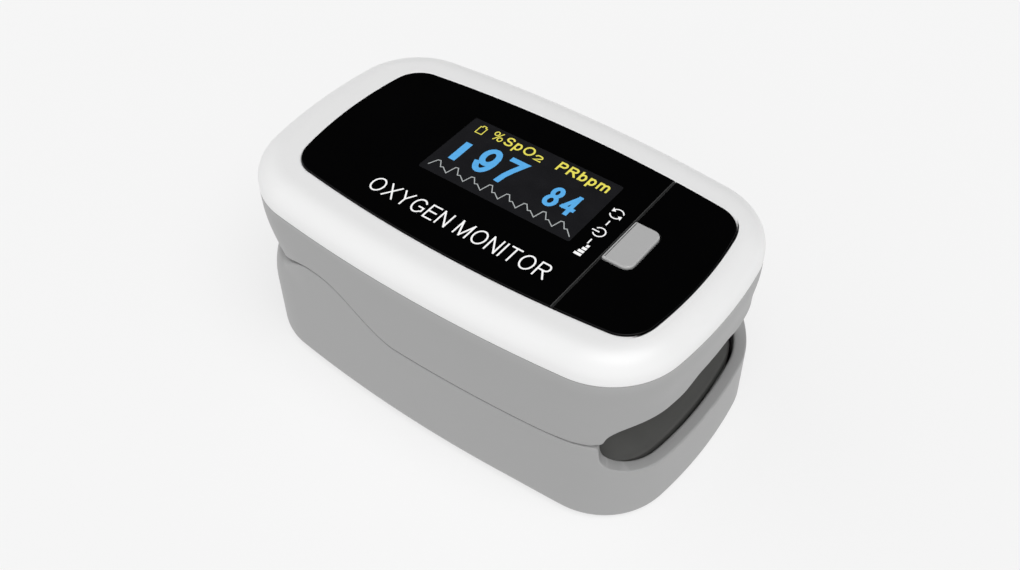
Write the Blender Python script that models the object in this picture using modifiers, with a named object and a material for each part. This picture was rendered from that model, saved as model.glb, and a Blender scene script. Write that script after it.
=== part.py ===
"""Fingertip pulse oximeter, as an assembly of its separate pieces.

Frame: +X points out of the finger opening, +Z up, origin at the centre of the flat underside.
Sizes are in millimetres here and become metres where vertices are made.
"""

import math

import bmesh
import bpy
from mathutils import Matrix, Vector

MM = 0.001
GAP = 0.3

# Plan outlines, each made of two side arcs, two end arcs and four corner arcs.
BODY = {"length": 60.0, "width": 36.0, "side": 188.0, "end": 58.7, "corner": 9.9, "x": 0.0}
PANEL = {"length": 50.6, "width": 25.8, "side": 172.0, "end": 47.7, "corner": 3.9, "x": 1.25}

# Heights.
SHELL_TOP = 24.35
COVER_BOTTOM = SHELL_TOP + GAP
COVER_SIDE_TOP = 25.2
COVER_TOP = 27.85
PANEL_BOTTOM = 27.0
PANEL_TOP = 28.0
BUTTON_TOP = 28.2

# Walls.
WALL = 1.6
UPPER_WALL = 1.2
FLOOR = 2.0
BOTTOM_ROUND = 2.0
BOTTOM_ROUND_FRONT = 0.9
BOTTOM_ROUND_X = (12.0, 30.0)
RIM_WIDTH = 3.2

# How far the two ends draw in towards the meeting line.
PINCH_X = (17.0, 27.0)
UPPER_PINCH_FRONT = 0.45
UPPER_PINCH_REAR = 1.5
UPPER_PINCH_Z = (15.9, 23.0)
LOWER_PINCH_FRONT = 0.2
LOWER_PINCH_REAR = 1.0
LOWER_PINCH_Z = (9.5, 14.0)

# Line where the halves meet: level in front, a ramp, an ear over the hinge, and a wedge behind.
PARTING_FRONT = 13.4
PARTING_EAR = 18.15
RAMP_FRONT_X = -2.5
RAMP_REAR_X = -14.5
EAR_REAR_X = -16.2
WEDGE_REAR_X = -25.0
WEDGE_DEPTH = 4.0
OPEN_ANGLE = 12.0
BEYOND_X = 32.0
BEYOND_Y = 20.0

# Finger opening in the front wall.
MOUTH_HALF_WIDTH = 15.5
MOUTH_REAR_X = 20.0
LIP_DEPTH = 5.1
ARCH_HALF_WIDTH = 15.25
ARCH_BASE = 13.9
ARCH_RISE = 3.0
HUMP_RISE = 0.9
HUMP_OUTER = 6.5
HUMP_INNER = 2.5

# Hinge across the halves.
HINGE_X = -17.5
HINGE_Z = 15.6
PIN_RADIUS = 0.75
LUG_RADIUS = 2.0
LUG_HOLE_RADIUS = 0.95
LOWER_LUG_Y = (11.5, 13.0)
UPPER_LUG_Y = (9.6, 11.1)

# Finger pads and the frames behind them.
PAD_REAR_X = -12.3
LOWER_PAD_INSET = 2.0
UPPER_PAD_INSET = 2.6
FRAME_REAR_X = -13.2
PAD_HALF_WIDTH = 14.0
FRAME_HALF_WIDTH = 13.8
PAD_EDGE_DROP = 0.35
PAD_THICKNESS = 1.2
PAD_SEAT_GAP = 0.45
PAD_SLOPE_X = 19.0
FRAME_THICKNESS = 0.8
DECK_Z = 12.2
DECK_THICKNESS = 0.8
DECK_INSET = 2.6
UPPER_DECK_Z = 21.1
UPPER_DECK_INSET = 2.4
SKIRT_INSET = 3.1
SKIRT_THICKNESS = 0.7
SKIRT_TOP = 17.2
SENSOR_X = 4.0

# Battery bay and its door.
CELL_RADIUS = 5.1
CELL_BODY = 43.2
CELL_Y = 5.6
CELL_Z = 6.6
DOOR_THICKNESS = 1.2
DOOR_HALF_WIDTH = 12.2
DOOR_FRONT_X = 17.0
DOOR_TONGUE = 1.0
CONTACT_Z = (3.9, 9.6)
LOWER_SCREWS = {"left": (22.3, 11.2), "right": (22.3, -11.2)}
UPPER_SCREWS = {"left": (-16.0, 13.6), "right": (-16.0, -13.6)}

# Electronics.
BOARD_Z = 22.4
BOARD_THICKNESS = 1.0
SEAM_X = 15.78
DISPLAY_X = 0.56
DISPLAY_Y = 2.37
BUTTON_Y = 0.3
BUTTON_WIDTH = 7.0
BUTTON_LENGTH = 3.5
KEY_LEFT_X = SEAM_X + 0.2

LIGHT_GREY = ((0.36, 0.36, 0.36), 0.45, 0.0)
WHITE = ((0.90, 0.90, 0.90), 0.35, 0.0)
GLOSS_BLACK = ((0.006, 0.006, 0.007), 0.08, 0.0)
KEY_GREY = ((0.40, 0.40, 0.40), 0.4, 0.0)
RUBBER = ((0.06, 0.06, 0.058), 0.75, 0.0)
FRAME_GREY = ((0.16, 0.16, 0.165), 0.55, 0.0)
BOARD_GREEN = ((0.02, 0.14, 0.06), 0.4, 0.0)
CHIP_BLACK = ((0.02, 0.02, 0.022), 0.5, 0.0)
STEEL = ((0.56, 0.57, 0.58), 0.25, 1.0)
NICKEL = ((0.66, 0.63, 0.58), 0.3, 1.0)
CLEAR = ((0.75, 0.78, 0.80), 0.06, 0.0)
DISPLAY_GLASS = ((0.015, 0.016, 0.02), 0.05, 0.0)
FLEX_AMBER = ((0.45, 0.20, 0.04), 0.35, 0.0)
CELL_WRAP = ((0.10, 0.22, 0.42), 0.35, 0.2)
LED_RED = ((0.55, 0.05, 0.04), 0.2, 0.0)
SENSOR_DARK = ((0.03, 0.03, 0.05), 0.15, 0.0)


def clear_scene():
    for obj in list(bpy.data.objects):
        bpy.data.objects.remove(obj)


def make_collection(name):
    collection = bpy.data.collections.new(name)
    bpy.context.scene.collection.children.link(collection)
    return collection


clear_scene()
PARTS = make_collection("pulse_oximeter")
CUTTERS = make_collection("cutters")
CUTTERS.hide_render = True


# --- small geometry helpers ---------------------------------------------------------------


def smoothstep(t):
    t = min(max(t, 0.0), 1.0)
    return t * t * (3.0 - 2.0 * t)


def vec(x, y, z):
    return Vector((x, y, z)) * MM


def add_object(name, bm):
    """Turns a bmesh into an object in the cutters' collection."""
    bmesh.ops.recalc_face_normals(bm, faces=bm.faces)
    mesh = bpy.data.meshes.new(name)
    bm.to_mesh(mesh)
    bm.free()
    obj = bpy.data.objects.new(name, mesh)
    CUTTERS.objects.link(obj)
    obj.hide_render = True
    obj.display_type = "WIRE"
    return obj


def box(name, low, high):
    """A box between two opposite corners."""
    bm = bmesh.new()
    bmesh.ops.create_cube(bm, size=1.0)
    size = [high[i] - low[i] for i in range(3)]
    centre = [(high[i] + low[i]) / 2 for i in range(3)]
    matrix = Matrix.Translation(vec(*centre)) @ Matrix.Diagonal((*[s * MM for s in size], 1.0))
    bmesh.ops.transform(bm, matrix=matrix, verts=bm.verts)
    return add_object(name, bm)


def cylinder(name, radius, centre, length, axis="Z", segments=20):
    """A cylinder about its centre, along one axis."""
    turn = {"X": ("Y", math.pi / 2), "Y": ("X", math.pi / 2), "Z": ("Z", 0.0)}[axis]
    bm = bmesh.new()
    matrix = Matrix.Translation(vec(*centre)) @ Matrix.Rotation(turn[1], 4, turn[0])
    size = {"radius1": radius * MM, "radius2": radius * MM, "depth": length * MM}
    bmesh.ops.create_cone(bm, cap_ends=True, segments=segments, matrix=matrix, **size)
    return add_object(name, bm)


def prism(name, points, low, high, axis="Z"):
    """A flat polygon extruded along an axis; points are in the other two axes, in X, Y, Z order."""
    place = {
        "X": lambda a, b: vec(low, a, b),
        "Y": lambda a, b: vec(a, low, b),
        "Z": lambda a, b: vec(a, b, low),
    }[axis]
    step = {"X": vec(high - low, 0, 0), "Y": vec(0, high - low, 0), "Z": vec(0, 0, high - low)}[axis]
    bm = bmesh.new()
    face = bm.faces.new([bm.verts.new(place(a, b)) for a, b in points])
    extruded = bmesh.ops.extrude_face_region(bm, geom=[face], use_keep_orig=True)
    moved = [item for item in extruded["geom"] if isinstance(item, bmesh.types.BMVert)]
    bmesh.ops.translate(bm, vec=step, verts=moved)
    return add_object(name, bm)


def loft(name, rings):
    """A closed body through rings of equal point count, with its first and last ring capped."""
    bm = bmesh.new()
    loops = [[bm.verts.new(point) for point in ring] for ring in rings]
    count = len(loops[0])
    for lower, upper in zip(loops, loops[1:]):
        for i in range(count):
            j = (i + 1) % count
            bm.faces.new((lower[i], lower[j], upper[j], upper[i]))
    bm.faces.new(loops[0])
    bm.faces.new(loops[-1])
    return add_object(name, bm)


def turned(name, profile, base, axis="Z", steps=16):
    """A profile of (radius, height) pairs from top to bottom, turned about an axis through base."""
    bm = bmesh.new()
    verts = [bm.verts.new(vec(radius, 0, height)) for radius, height in profile]
    for first, second in zip(verts, verts[1:]):
        bm.edges.new((first, second))
    obj = add_object(name, bm)
    obj.location = vec(*base)
    if axis == "X":
        obj.rotation_euler = (0.0, math.pi / 2, 0.0)
    screw = obj.modifiers.new("turn", "SCREW")
    screw.steps = steps
    screw.render_steps = steps
    screw.use_merge_vertices = True
    screw.merge_threshold = 0.00001
    return obj


def tube(name, points, radius):
    """A round wire along points, with filled ends."""
    curve = bpy.data.curves.new(name, "CURVE")
    curve.dimensions = "3D"
    curve.bevel_depth = radius * MM
    curve.bevel_resolution = 1
    curve.use_fill_caps = True
    spline = curve.splines.new("POLY")
    spline.points.add(len(points) - 1)
    for spot, point in zip(spline.points, points):
        spot.co = (*vec(*point), 1.0)
    obj = bpy.data.objects.new(name, curve)
    CUTTERS.objects.link(obj)
    return obj


def ribbon(name, path, width, thickness):
    """A flat strip along a path in the XZ plane, given as (x, z) pairs, centred on y = 0."""
    half = thickness / 2
    sides = [[], []]
    for i, (x, z) in enumerate(path):
        before = path[max(i - 1, 0)]
        after = path[min(i + 1, len(path) - 1)]
        along = Vector((after[0] - before[0], after[1] - before[1])).normalized()
        sides[0].append((x - along.y * half, z + along.x * half))
        sides[1].append((x + along.y * half, z - along.x * half))
    return prism(name, sides[0] + sides[1][::-1], -width / 2, width / 2, "Y")


def boolean(obj, operation, others):
    for other in others:
        modifier = obj.modifiers.new(operation.lower(), "BOOLEAN")
        modifier.operation = operation
        modifier.object = other
    return obj


def cut(obj, *others):
    return boolean(obj, "DIFFERENCE", others)


def join(obj, *others):
    return boolean(obj, "UNION", others)


def common(obj, *others):
    return boolean(obj, "INTERSECT", others)


def make_part(obj, finish, smooth=True, origin=(0.0, 0.0, 0.0), parent=None):
    """Moves an object from the cutters to the parts, with its own material, origin and parent."""
    colour, roughness, metallic = finish
    CUTTERS.objects.unlink(obj)
    PARTS.objects.link(obj)
    obj.hide_render = False
    obj.display_type = "TEXTURED"
    material = bpy.data.materials.new(obj.name)
    material.use_nodes = True
    shader = material.node_tree.nodes["Principled BSDF"]
    shader.inputs["Base Color"].default_value = (*colour, 1.0)
    shader.inputs["Roughness"].default_value = roughness
    shader.inputs["Metallic"].default_value = metallic
    obj.data.materials.append(material)
    if obj.type == "MESH":
        if smooth:
            obj.data.shade_smooth()
            obj.data.set_sharp_from_angle(angle=math.radians(35))
        if obj.location.length == 0.0:
            obj.data.transform(Matrix.Translation(-vec(*origin)))
            obj.location = vec(*origin)
    if parent:
        obj.parent = parent
        obj.matrix_parent_inverse = Matrix.Translation(-parent.location)
    return obj


def axis_empty(name, x, y, z):
    """An empty on a joint's axis, which the moving pieces are parented to."""
    empty = bpy.data.objects.new(name, None)
    empty.location = vec(x, y, z)
    PARTS.objects.link(empty)
    return empty


# --- the housing's shape -------------------------------------------------------------------


def arc_centres(plan):
    """Centres of the side arc (on Y), the end arc (on X) and the corner arc of one quadrant."""
    side = Vector((0.0, plan["width"] / 2 - plan["side"]))
    end = Vector((plan["length"] / 2 - plan["end"], 0.0))
    from_side = plan["side"] - plan["corner"]
    from_end = plan["end"] - plan["corner"]
    apart = (end - side).length
    along = (from_side**2 - from_end**2 + apart**2) / (2 * apart)
    across = math.sqrt(from_side**2 - along**2)
    unit = (end - side) / apart
    corner = side + unit * along + Vector((unit.y, -unit.x)) * across
    return side, end, corner


def outline(plan, inset=0.0, steps=(3, 6, 3)):
    """The plan's closed outline, moved inward: (x, y, normal x, normal y), anticlockwise."""
    side, end, corner = arc_centres(plan)
    low = math.atan2(corner.y - end.y, corner.x - end.x)
    high = math.atan2(corner.y - side.y, corner.x - side.x)
    arcs = (
        (end, plan["end"], 0.0, low, steps[0]),
        (corner, plan["corner"], low, high, steps[1]),
        (side, plan["side"], high, math.pi / 2, steps[2]),
    )
    quadrant = []
    for centre, radius, start, stop, count in arcs:
        for i in range(count):
            angle = start + (stop - start) * i / count
            normal = Vector((math.cos(angle), math.sin(angle)))
            quadrant.append((centre + normal * (radius - inset), normal))
    quadrant.append((Vector((0.0, plan["width"] / 2 - inset)), Vector((0.0, 1.0))))
    whole = []
    for sign_x, sign_y in ((1, 1), (-1, 1), (-1, -1), (1, -1)):
        part = quadrant if sign_x * sign_y > 0 else quadrant[::-1]
        for point, normal in part[:-1]:
            x = point.x * sign_x + plan["x"]
            whole.append((x, point.y * sign_y, normal.x * sign_x, normal.y * sign_y))
    return whole


def plan_points(plan, inset=0.0):
    return [(x, y) for x, y, _, _ in outline(plan, inset)]


def housing_ring(z, inset=0.0, pinch=(0.0, 0.0)):
    """One level of the housing: the outline moved inward, and further in at its (front, rear) ends."""
    ring = []
    for x, y, normal_x, normal_y in outline(BODY):
        end_pinch = pinch[0] if x > 0 else pinch[1]
        inward = inset + end_pinch * smoothstep((abs(x) - PINCH_X[0]) / (PINCH_X[1] - PINCH_X[0]))
        ring.append(vec(x - normal_x * inward, y - normal_y * inward, z))
    return ring


def lower_pinch(z):
    """How far the lower shell's (front, rear) ends draw in at a height."""
    low, high = LOWER_PINCH_Z
    share = max((min(z, high) - low) / (high - low), 0.0) ** 2
    return LOWER_PINCH_FRONT * share, LOWER_PINCH_REAR * share


def upper_pinch(z):
    """How far the upper shell's (front, rear) ends draw in at a height."""
    low, high = UPPER_PINCH_Z
    below = max(high - max(z, low), 0.0)
    rear = UPPER_PINCH_REAR * (below / (high - low)) ** 2.2
    return UPPER_PINCH_FRONT * smoothstep(below / 5.0), rear


def bottom_ring(angle):
    """A ring of the rounded bottom edge, at an angle between the underside (0) and the wall (90)."""
    start, stop = BOTTOM_ROUND_X
    ring = []
    for x, y, normal_x, normal_y in outline(BODY):
        forward = smoothstep((x - start) / (stop - start))
        radius = BOTTOM_ROUND + (BOTTOM_ROUND_FRONT - BOTTOM_ROUND) * forward
        inward = radius * (1 - math.sin(math.radians(angle)))
        height = radius * (1 - math.cos(math.radians(angle)))
        ring.append(vec(x - normal_x * inward, y - normal_y * inward, height))
    return ring


def front_x(y, inset):
    """Where the outline's front, moved inward, crosses a given y."""
    _, end, corner = arc_centres(BODY)
    radius = BODY["end"] - inset
    x = end.x + math.sqrt(radius**2 - y**2)
    if abs(y) > corner.y and (x - end.x) * corner.y < abs(y) * (corner.x - end.x):
        x = corner.x + math.sqrt((BODY["corner"] - inset) ** 2 - (abs(y) - corner.y) ** 2)
    return x


def lip_z(y):
    """Upper edge of the lower shell across the finger opening."""
    across = min(abs(y) / MOUTH_HALF_WIDTH, 1.0)
    return PARTING_FRONT - 0.1 - LIP_DEPTH * (1 - across**4) ** 0.25


def arch_z(y):
    """Lower edge of the upper shell across the finger opening."""
    across = min(abs(y) / ARCH_HALF_WIDTH, 1.0)
    hump = smoothstep((HUMP_OUTER - abs(y)) / (HUMP_OUTER - HUMP_INNER))
    return ARCH_BASE + ARCH_RISE * math.sqrt(1 - across**10) + HUMP_RISE * hump


def mouth_points(edge, far_z):
    """The opening's edge across the width, closed off at a level clear of the wall."""
    count = 28
    points = []
    for i in range(count + 1):
        angle = math.pi * i / count
        side = math.copysign(abs(math.cos(angle)) ** 0.5, math.cos(angle))
        y = MOUTH_HALF_WIDTH * side
        points.append((y, edge(y)))
    return points + [(-MOUTH_HALF_WIDTH, far_z), (MOUTH_HALF_WIDTH, far_z)]


def parting_points(lift, swing):
    """The halves' meeting line, front to rear, with swing as extra gap per millimetre behind the hinge."""
    points = [(BEYOND_X, PARTING_FRONT + lift), (RAMP_FRONT_X, PARTING_FRONT + lift)]
    ramp_steps = 10
    for i in range(1, ramp_steps + 1):
        t = i / ramp_steps
        x = RAMP_FRONT_X + (RAMP_REAR_X - RAMP_FRONT_X) * t
        points.append((x, PARTING_FRONT + lift + (PARTING_EAR - PARTING_FRONT) * smoothstep(t)))
    wedge_steps = 9
    wedge = [EAR_REAR_X + (WEDGE_REAR_X - EAR_REAR_X) * i / wedge_steps for i in range(wedge_steps + 1)]
    for x in wedge + [-BEYOND_X]:
        fall = smoothstep((EAR_REAR_X - x) / (EAR_REAR_X - WEDGE_REAR_X))
        points.append((x, PARTING_EAR - WEDGE_DEPTH * fall + lift + swing * max(HINGE_X - x, 0.0)))
    return points


def above_parting():
    """Everything above the lower shell's upper edge."""
    points = parting_points(0.0, 0.0) + [(-BEYOND_X, 30.0), (BEYOND_X, 30.0)]
    return prism("cut_above_parting", points, -BEYOND_Y, BEYOND_Y, "Y")


def below_parting():
    """Everything below the upper shell's lower edge, which leaves room behind the hinge to open."""
    swing = math.sin(math.radians(OPEN_ANGLE))
    points = parting_points(GAP, swing) + [(-BEYOND_X, 8.0), (BEYOND_X, 8.0)]
    return prism("cut_below_parting", points, -BEYOND_Y, BEYOND_Y, "Y")


# --- lower half -----------------------------------------------------------------------------


def screw_hole(name, x, y):
    """A counterbored hole through the floor."""
    wide = cylinder(name + "_head", 2.1, (x, y, 0.1), 2.2, segments=16)
    return [wide, cylinder(name + "_shank", 1.2, (x, y, 2.0), 4.0, segments=16)]


def lower_shell():
    levels = [9.5, 11.0, 12.5, 14.0, 18.4]
    rings = [bottom_ring(22.5 * i) for i in range(5)]
    rings += [housing_ring(z, 0.0, lower_pinch(z)) for z in levels]
    shell = loft("lower_shell", rings)
    inside = [housing_ring(FLOOR, WALL + 1.4), housing_ring(FLOOR + 1.4, WALL)]
    inside += [housing_ring(z, WALL, lower_pinch(z)) for z in levels[:-1] + [20.0]]
    cut(shell, loft("cut_lower_inside", inside))
    half = DOOR_HALF_WIDTH + GAP
    top = DOOR_THICKNESS + GAP
    groove = half + DOOR_TONGUE
    front = DOOR_FRONT_X + GAP
    cut(
        shell,
        box("cut_door", (-32.0, -half, -1.0), (front, half, top)),
        box("cut_door_groove", (-32.0, -groove, 0.55), (front, groove, top)),
        box("cut_battery_bay", (-26.8, -11.4, DOOR_THICKNESS), (front + 1.4, 11.4, FLOOR + 0.6)),
    )
    for side, (x, y) in LOWER_SCREWS.items():
        cut(shell, *screw_hole("cut_lower_screw_" + side, x, y))
    lip = prism("cut_lip", mouth_points(lip_z, 20.0), MOUTH_REAR_X, BEYOND_X, "X")
    cut(shell, above_parting(), lip)
    return make_part(shell, LIGHT_GREY)


def battery_door(parent):
    """The sliding door: a plate that carries the housing's rounded rear edge, with a tongue each side."""
    half = DOOR_HALF_WIDTH
    height = DOOR_THICKNESS
    inset = BOTTOM_ROUND - math.sqrt(BOTTOM_ROUND**2 - (BOTTOM_ROUND - height) ** 2)
    rings = [bottom_ring(22.5 * i) for i in range(3)]
    rings.append(housing_ring(height, inset))
    door = loft("battery_door", rings)
    plate = box("fit_door_plate", (-BEYOND_X, -half, -1.0), (DOOR_FRONT_X, half, height + 1.0))
    tongue = half + DOOR_TONGUE
    wings = box("fit_door_tongue", (-BEYOND_X, -tongue, 0.85), (DOOR_FRONT_X, tongue, height + 0.5))
    join(plate, wings)
    common(door, plate)
    for i in range(4):
        x = -22.0 + 1.6 * i
        cut(door, box(f"cut_door_grip_{i}", (x, -4.0, -1.0), (x + 0.8, 4.0, 0.4)))
    return make_part(door, LIGHT_GREY, parent=parent)


def pad_rows(x_rear, half_width, front_inset):
    """Rows of (x, y) spots that cover a finger pad, closer together on its sloping front."""
    along = (0.0, 0.4, 0.78, 0.84, 0.89, 0.93, 0.97, 1.0)
    across = 16
    rows = []
    for i in range(across + 1):
        y = half_width * (2 * i / across - 1)
        front = front_x(y, front_inset)
        rows.append([(x_rear + (front - x_rear) * t, y) for t in along])
    return rows


def slab(name, height, thickness, spots):
    """A curved sheet with its underside at a height given for each spot, and a vertical thickness."""
    bm = bmesh.new()
    grid = [[bm.verts.new(vec(x, y, height(x, y))) for x, y in row] for row in spots]
    for row, following in zip(grid, grid[1:]):
        for i in range(len(row) - 1):
            bm.faces.new((row[i], row[i + 1], following[i + 1], following[i]))
    extruded = bmesh.ops.extrude_face_region(bm, geom=bm.faces[:], use_keep_orig=True)
    moved = [item for item in extruded["geom"] if isinstance(item, bmesh.types.BMVert)]
    bmesh.ops.translate(bm, vec=vec(0, 0, thickness), verts=moved)
    return add_object(name, bm)


def slope_at(x, y):
    """0 over the pad's long middle, rising to 1 at its front edge."""
    return smoothstep((x - PAD_SLOPE_X) / (front_x(y, 2.0) - PAD_SLOPE_X))


def lower_pad_top(x, y):
    """A trough for the finger that dips to the lip in front."""
    trough = 13.2 + 1.2 * smoothstep(abs(y) / 6.0) + 0.011 * max(abs(y) - 6.0, 0.0) ** 2
    return trough + (lip_z(y) - PAD_EDGE_DROP - trough) * slope_at(x, y)


def upper_pad_bottom(x, y):
    """A shallow arch over the finger that lifts to the shell's edge in front."""
    arch = 19.6 - 0.010 * y**2
    return arch + (arch_z(y) + PAD_EDGE_DROP - arch) * slope_at(x, y)


def lowered(surface, drop):
    """A surface's height function, moved down."""
    return lambda x, y: surface(x, y) - drop


def lower_finger_pad():
    spots = pad_rows(PAD_REAR_X, PAD_HALF_WIDTH, LOWER_PAD_INSET)
    pad = slab("lower_finger_pad", lowered(lower_pad_top, PAD_THICKNESS), PAD_THICKNESS, spots)
    window = ((SENSOR_X - 3.5, -2.5, 10.0), (SENSOR_X + 3.5, 2.5, 16.0))
    cut(pad, box("cut_sensor_window", *window))
    return make_part(pad, RUBBER)


def skirt():
    """The wall that stands behind the hinge, inside the upper shell's rear end."""
    wall = prism("fit_skirt", plan_points(BODY, SKIRT_INSET), DECK_Z, SKIRT_TOP)
    inner_plan = plan_points(BODY, SKIRT_INSET + SKIRT_THICKNESS)
    cut(wall, prism("cut_skirt_inside", inner_plan, DECK_Z - 1.0, SKIRT_TOP + 1.0))
    reach = ((-BEYOND_X, -BEYOND_Y, DECK_Z - 2.0), (-19.2, BEYOND_Y, SKIRT_TOP + 2.0))
    return common(wall, box("fit_skirt_reach", *reach))


def lug(name, y_low, y_high, base_z):
    """A hinge lug: a plate with a round end about the hinge's axis, standing on a base level."""
    toward = 1 if base_z < HINGE_Z else -1
    outline_points = [(HINGE_X - LUG_RADIUS, base_z), (HINGE_X + LUG_RADIUS, base_z)]
    steps = 10
    for i in range(steps + 1):
        angle = math.pi * i / steps
        x = HINGE_X + LUG_RADIUS * math.cos(angle)
        outline_points.append((x, HINGE_Z + toward * LUG_RADIUS * math.sin(angle)))
    return prism(name, outline_points, y_low, y_high, "Y")


def hinge_bore(name):
    return cylinder(name, LUG_HOLE_RADIUS, (HINGE_X, 0.0, HINGE_Z), 32.0, "Y")


def deck_plate(name, inset, low, x_low, x_high):
    """A flat deck across the housing between two x positions."""
    deck = prism(name, plan_points(BODY, inset), low, low + DECK_THICKNESS)
    reach = box(name + "_reach", (x_low, -BEYOND_Y, low - 2.0), (x_high, BEYOND_Y, low + 3.0))
    return common(deck, reach)


def lower_inner_frame():
    """The tray under the finger: its seat, the deck, skirt and lugs behind it, and the screw bosses."""
    lowest = PAD_THICKNESS + PAD_SEAT_GAP + FRAME_THICKNESS
    spots = pad_rows(FRAME_REAR_X, FRAME_HALF_WIDTH, LOWER_PAD_INSET)
    frame = slab("lower_inner_frame", lowered(lower_pad_top, lowest), FRAME_THICKNESS, spots)
    deck = deck_plate("fit_deck", DECK_INSET, DECK_Z, -BEYOND_X, -12.8)
    stop = box("fit_finger_stop", (-13.6, -13.0, DECK_Z + 0.1), (-12.7, 13.0, 17.6))
    join(frame, stop, deck, skirt())
    near, far = LOWER_LUG_Y
    join(frame, lug("fit_lower_lug_left", near, far, DECK_Z + 0.3))
    join(frame, lug("fit_lower_lug_right", -far, -near, DECK_Z + 0.3))
    under = lowest - FRAME_THICKNESS / 2
    above_seat = 9.0
    clearance = slab("cut_boss_tops", lowered(lower_pad_top, under), above_seat, spots)
    bay_wall = box("fit_bay_front_wall", (19.9, -10.0, 2.6), (20.7, 10.0, 13.5))
    join(frame, cut(bay_wall, clearance))
    for side, (x, y) in LOWER_SCREWS.items():
        boss = cylinder("fit_boss_" + side, 2.0, (x, y, 7.6), 10.6, segments=16)
        join(frame, cut(boss, clearance))
        cut(frame, cylinder("cut_boss_" + side, 1.1, (x, y, 4.75), 6.9, segments=16))
    cut(frame, hinge_bore("cut_lower_bore"))
    diode = ((SENSOR_X - 2.2, -2.2, 9.0), (SENSOR_X + 2.2, 2.2, 13.0))
    cut(frame, box("cut_photodiode", *diode))
    cut(frame, box("cut_cable_slot", (-24.9, -2.0, 11.0), (-22.4, 2.0, 14.0)))
    return make_part(frame, FRAME_GREY)


def hinge_pin():
    pin = cylinder("hinge_pin", PIN_RADIUS, (HINGE_X, 0.0, HINGE_Z), 27.4, "Y")
    return make_part(pin, STEEL, origin=(HINGE_X, 0.0, HINGE_Z))


def torsion_spring(side, sign):
    """A coil on the hinge pin with two legs that push the halves' rear ends apart."""
    turns = 3.5
    per_turn = 12
    radius = 1.45
    pitch = 0.62
    start_y = 6.0
    count = int(turns * per_turn)
    coil = []
    for i in range(count + 1):
        angle = math.radians(-90.0) + 2 * math.pi * i / per_turn
        y = sign * (start_y + pitch * i / per_turn)
        coil.append((HINGE_X + radius * math.cos(angle), y, HINGE_Z + radius * math.sin(angle)))
    first_y = coil[0][1]
    last_y = coil[-1][1]
    lower_leg = [(HINGE_X - 6.0, first_y, DECK_Z + 1.5), (HINGE_X - 2.0, first_y, DECK_Z + 1.6)]
    upper_leg = [(HINGE_X - 1.2, last_y, HINGE_Z + 1.9), (HINGE_X - 4.6, last_y, UPPER_DECK_Z - 0.7)]
    return make_part(tube(f"torsion_spring_{side}", lower_leg + coil + upper_leg, 0.22), STEEL)


def photodiode_parts():
    x = SENSOR_X
    board = box("photodiode_board", (x - 5.0, -1.7, 10.2), (x + 5.0, 1.7, 10.7))
    make_part(board, BOARD_GREEN)
    make_part(box("photodiode", (x - 1.6, -1.5, 10.9), (x + 1.6, 1.5, 11.8)), SENSOR_DARK)
    make_part(box("sensor_window", (x - 3.2, -2.2, 12.1), (x + 3.2, 2.2, 13.0)), CLEAR)


def cell(name, y, nub_sign, rear_x):
    """A AAA cell: wrapped body and raised nub."""
    nub = 0.9
    bevel = 0.4
    end_radius = CELL_RADIUS - bevel
    profile = [(0.0, CELL_BODY + nub), (2.5, CELL_BODY + nub), (2.6, CELL_BODY), (end_radius, CELL_BODY)]
    profile += [(CELL_RADIUS, CELL_BODY - bevel), (CELL_RADIUS, bevel), (end_radius, 0.0), (0.0, 0.0)]
    obj = turned(name, profile, (rear_x, y, CELL_Z), "X", 24)
    if nub_sign < 0:
        obj.rotation_euler = (0.0, -math.pi / 2, 0.0)
    return make_part(obj, CELL_WRAP)


def contact_coil(name, y, start_x, direction):
    """A conical contact coil between a plate and a cell's flat end."""
    turns = 2
    per_turn = 10
    points = []
    for i in range(turns * per_turn + 1):
        t = i / (turns * per_turn)
        radius = 3.2 - 1.4 * t
        angle = 2 * math.pi * turns * t
        x = start_x + direction * (0.25 + 0.6 * t)
        points.append((x, y + radius * math.cos(angle), CELL_Z + radius * math.sin(angle)))
    return make_part(tube(name, points, 0.2), NICKEL)


def battery_parts():
    cell("aaa_cell_left", CELL_Y, 1, -25.2)
    cell("aaa_cell_right", -CELL_Y, -1, 17.5)
    low, high = CONTACT_Z
    make_part(box("rear_bridge_contact", (-27.2, -8.6, low), (-26.9, 8.6, high)), NICKEL)
    for side, y in (("positive", CELL_Y), ("negative", -CELL_Y)):
        plate = box(f"front_{side}_contact", (19.2, y - 3.4, low), (19.5, y + 3.4, high))
        make_part(plate, NICKEL)
    contact_coil("rear_contact_coil", CELL_Y, -26.8, 1)
    contact_coil("front_contact_coil", -CELL_Y, 19.0, -1)


def pan_screw(name, x, y, z, head_radius, head_height, shank_radius, length):
    """A pan-head screw that points up from the underside of its head at z."""
    profile = [(0.0, length), (shank_radius * 0.6, length), (shank_radius, length - 0.6)]
    profile += [(shank_radius, head_height), (head_radius, head_height), (head_radius, 0.25)]
    profile += [(head_radius - 0.3, 0.0), (0.0, 0.0)]
    screw = turned(name, profile, (x, y, z), "Z", 16)
    slot = head_radius * 0.6
    cut(screw, box(name + "_slot_x", (x - slot, y - 0.2, z - 1.0), (x + slot, y + 0.2, z + 0.35)))
    cut(screw, box(name + "_slot_y", (x - 0.2, y - slot, z - 1.0), (x + 0.2, y + slot, z + 0.35)))
    return screw


def lower_screws():
    for side, (x, y) in LOWER_SCREWS.items():
        make_part(pan_screw("lower_screw_" + side, x, y, 0.15, 1.8, 0.8, 0.8, 7.4), STEEL)


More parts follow.
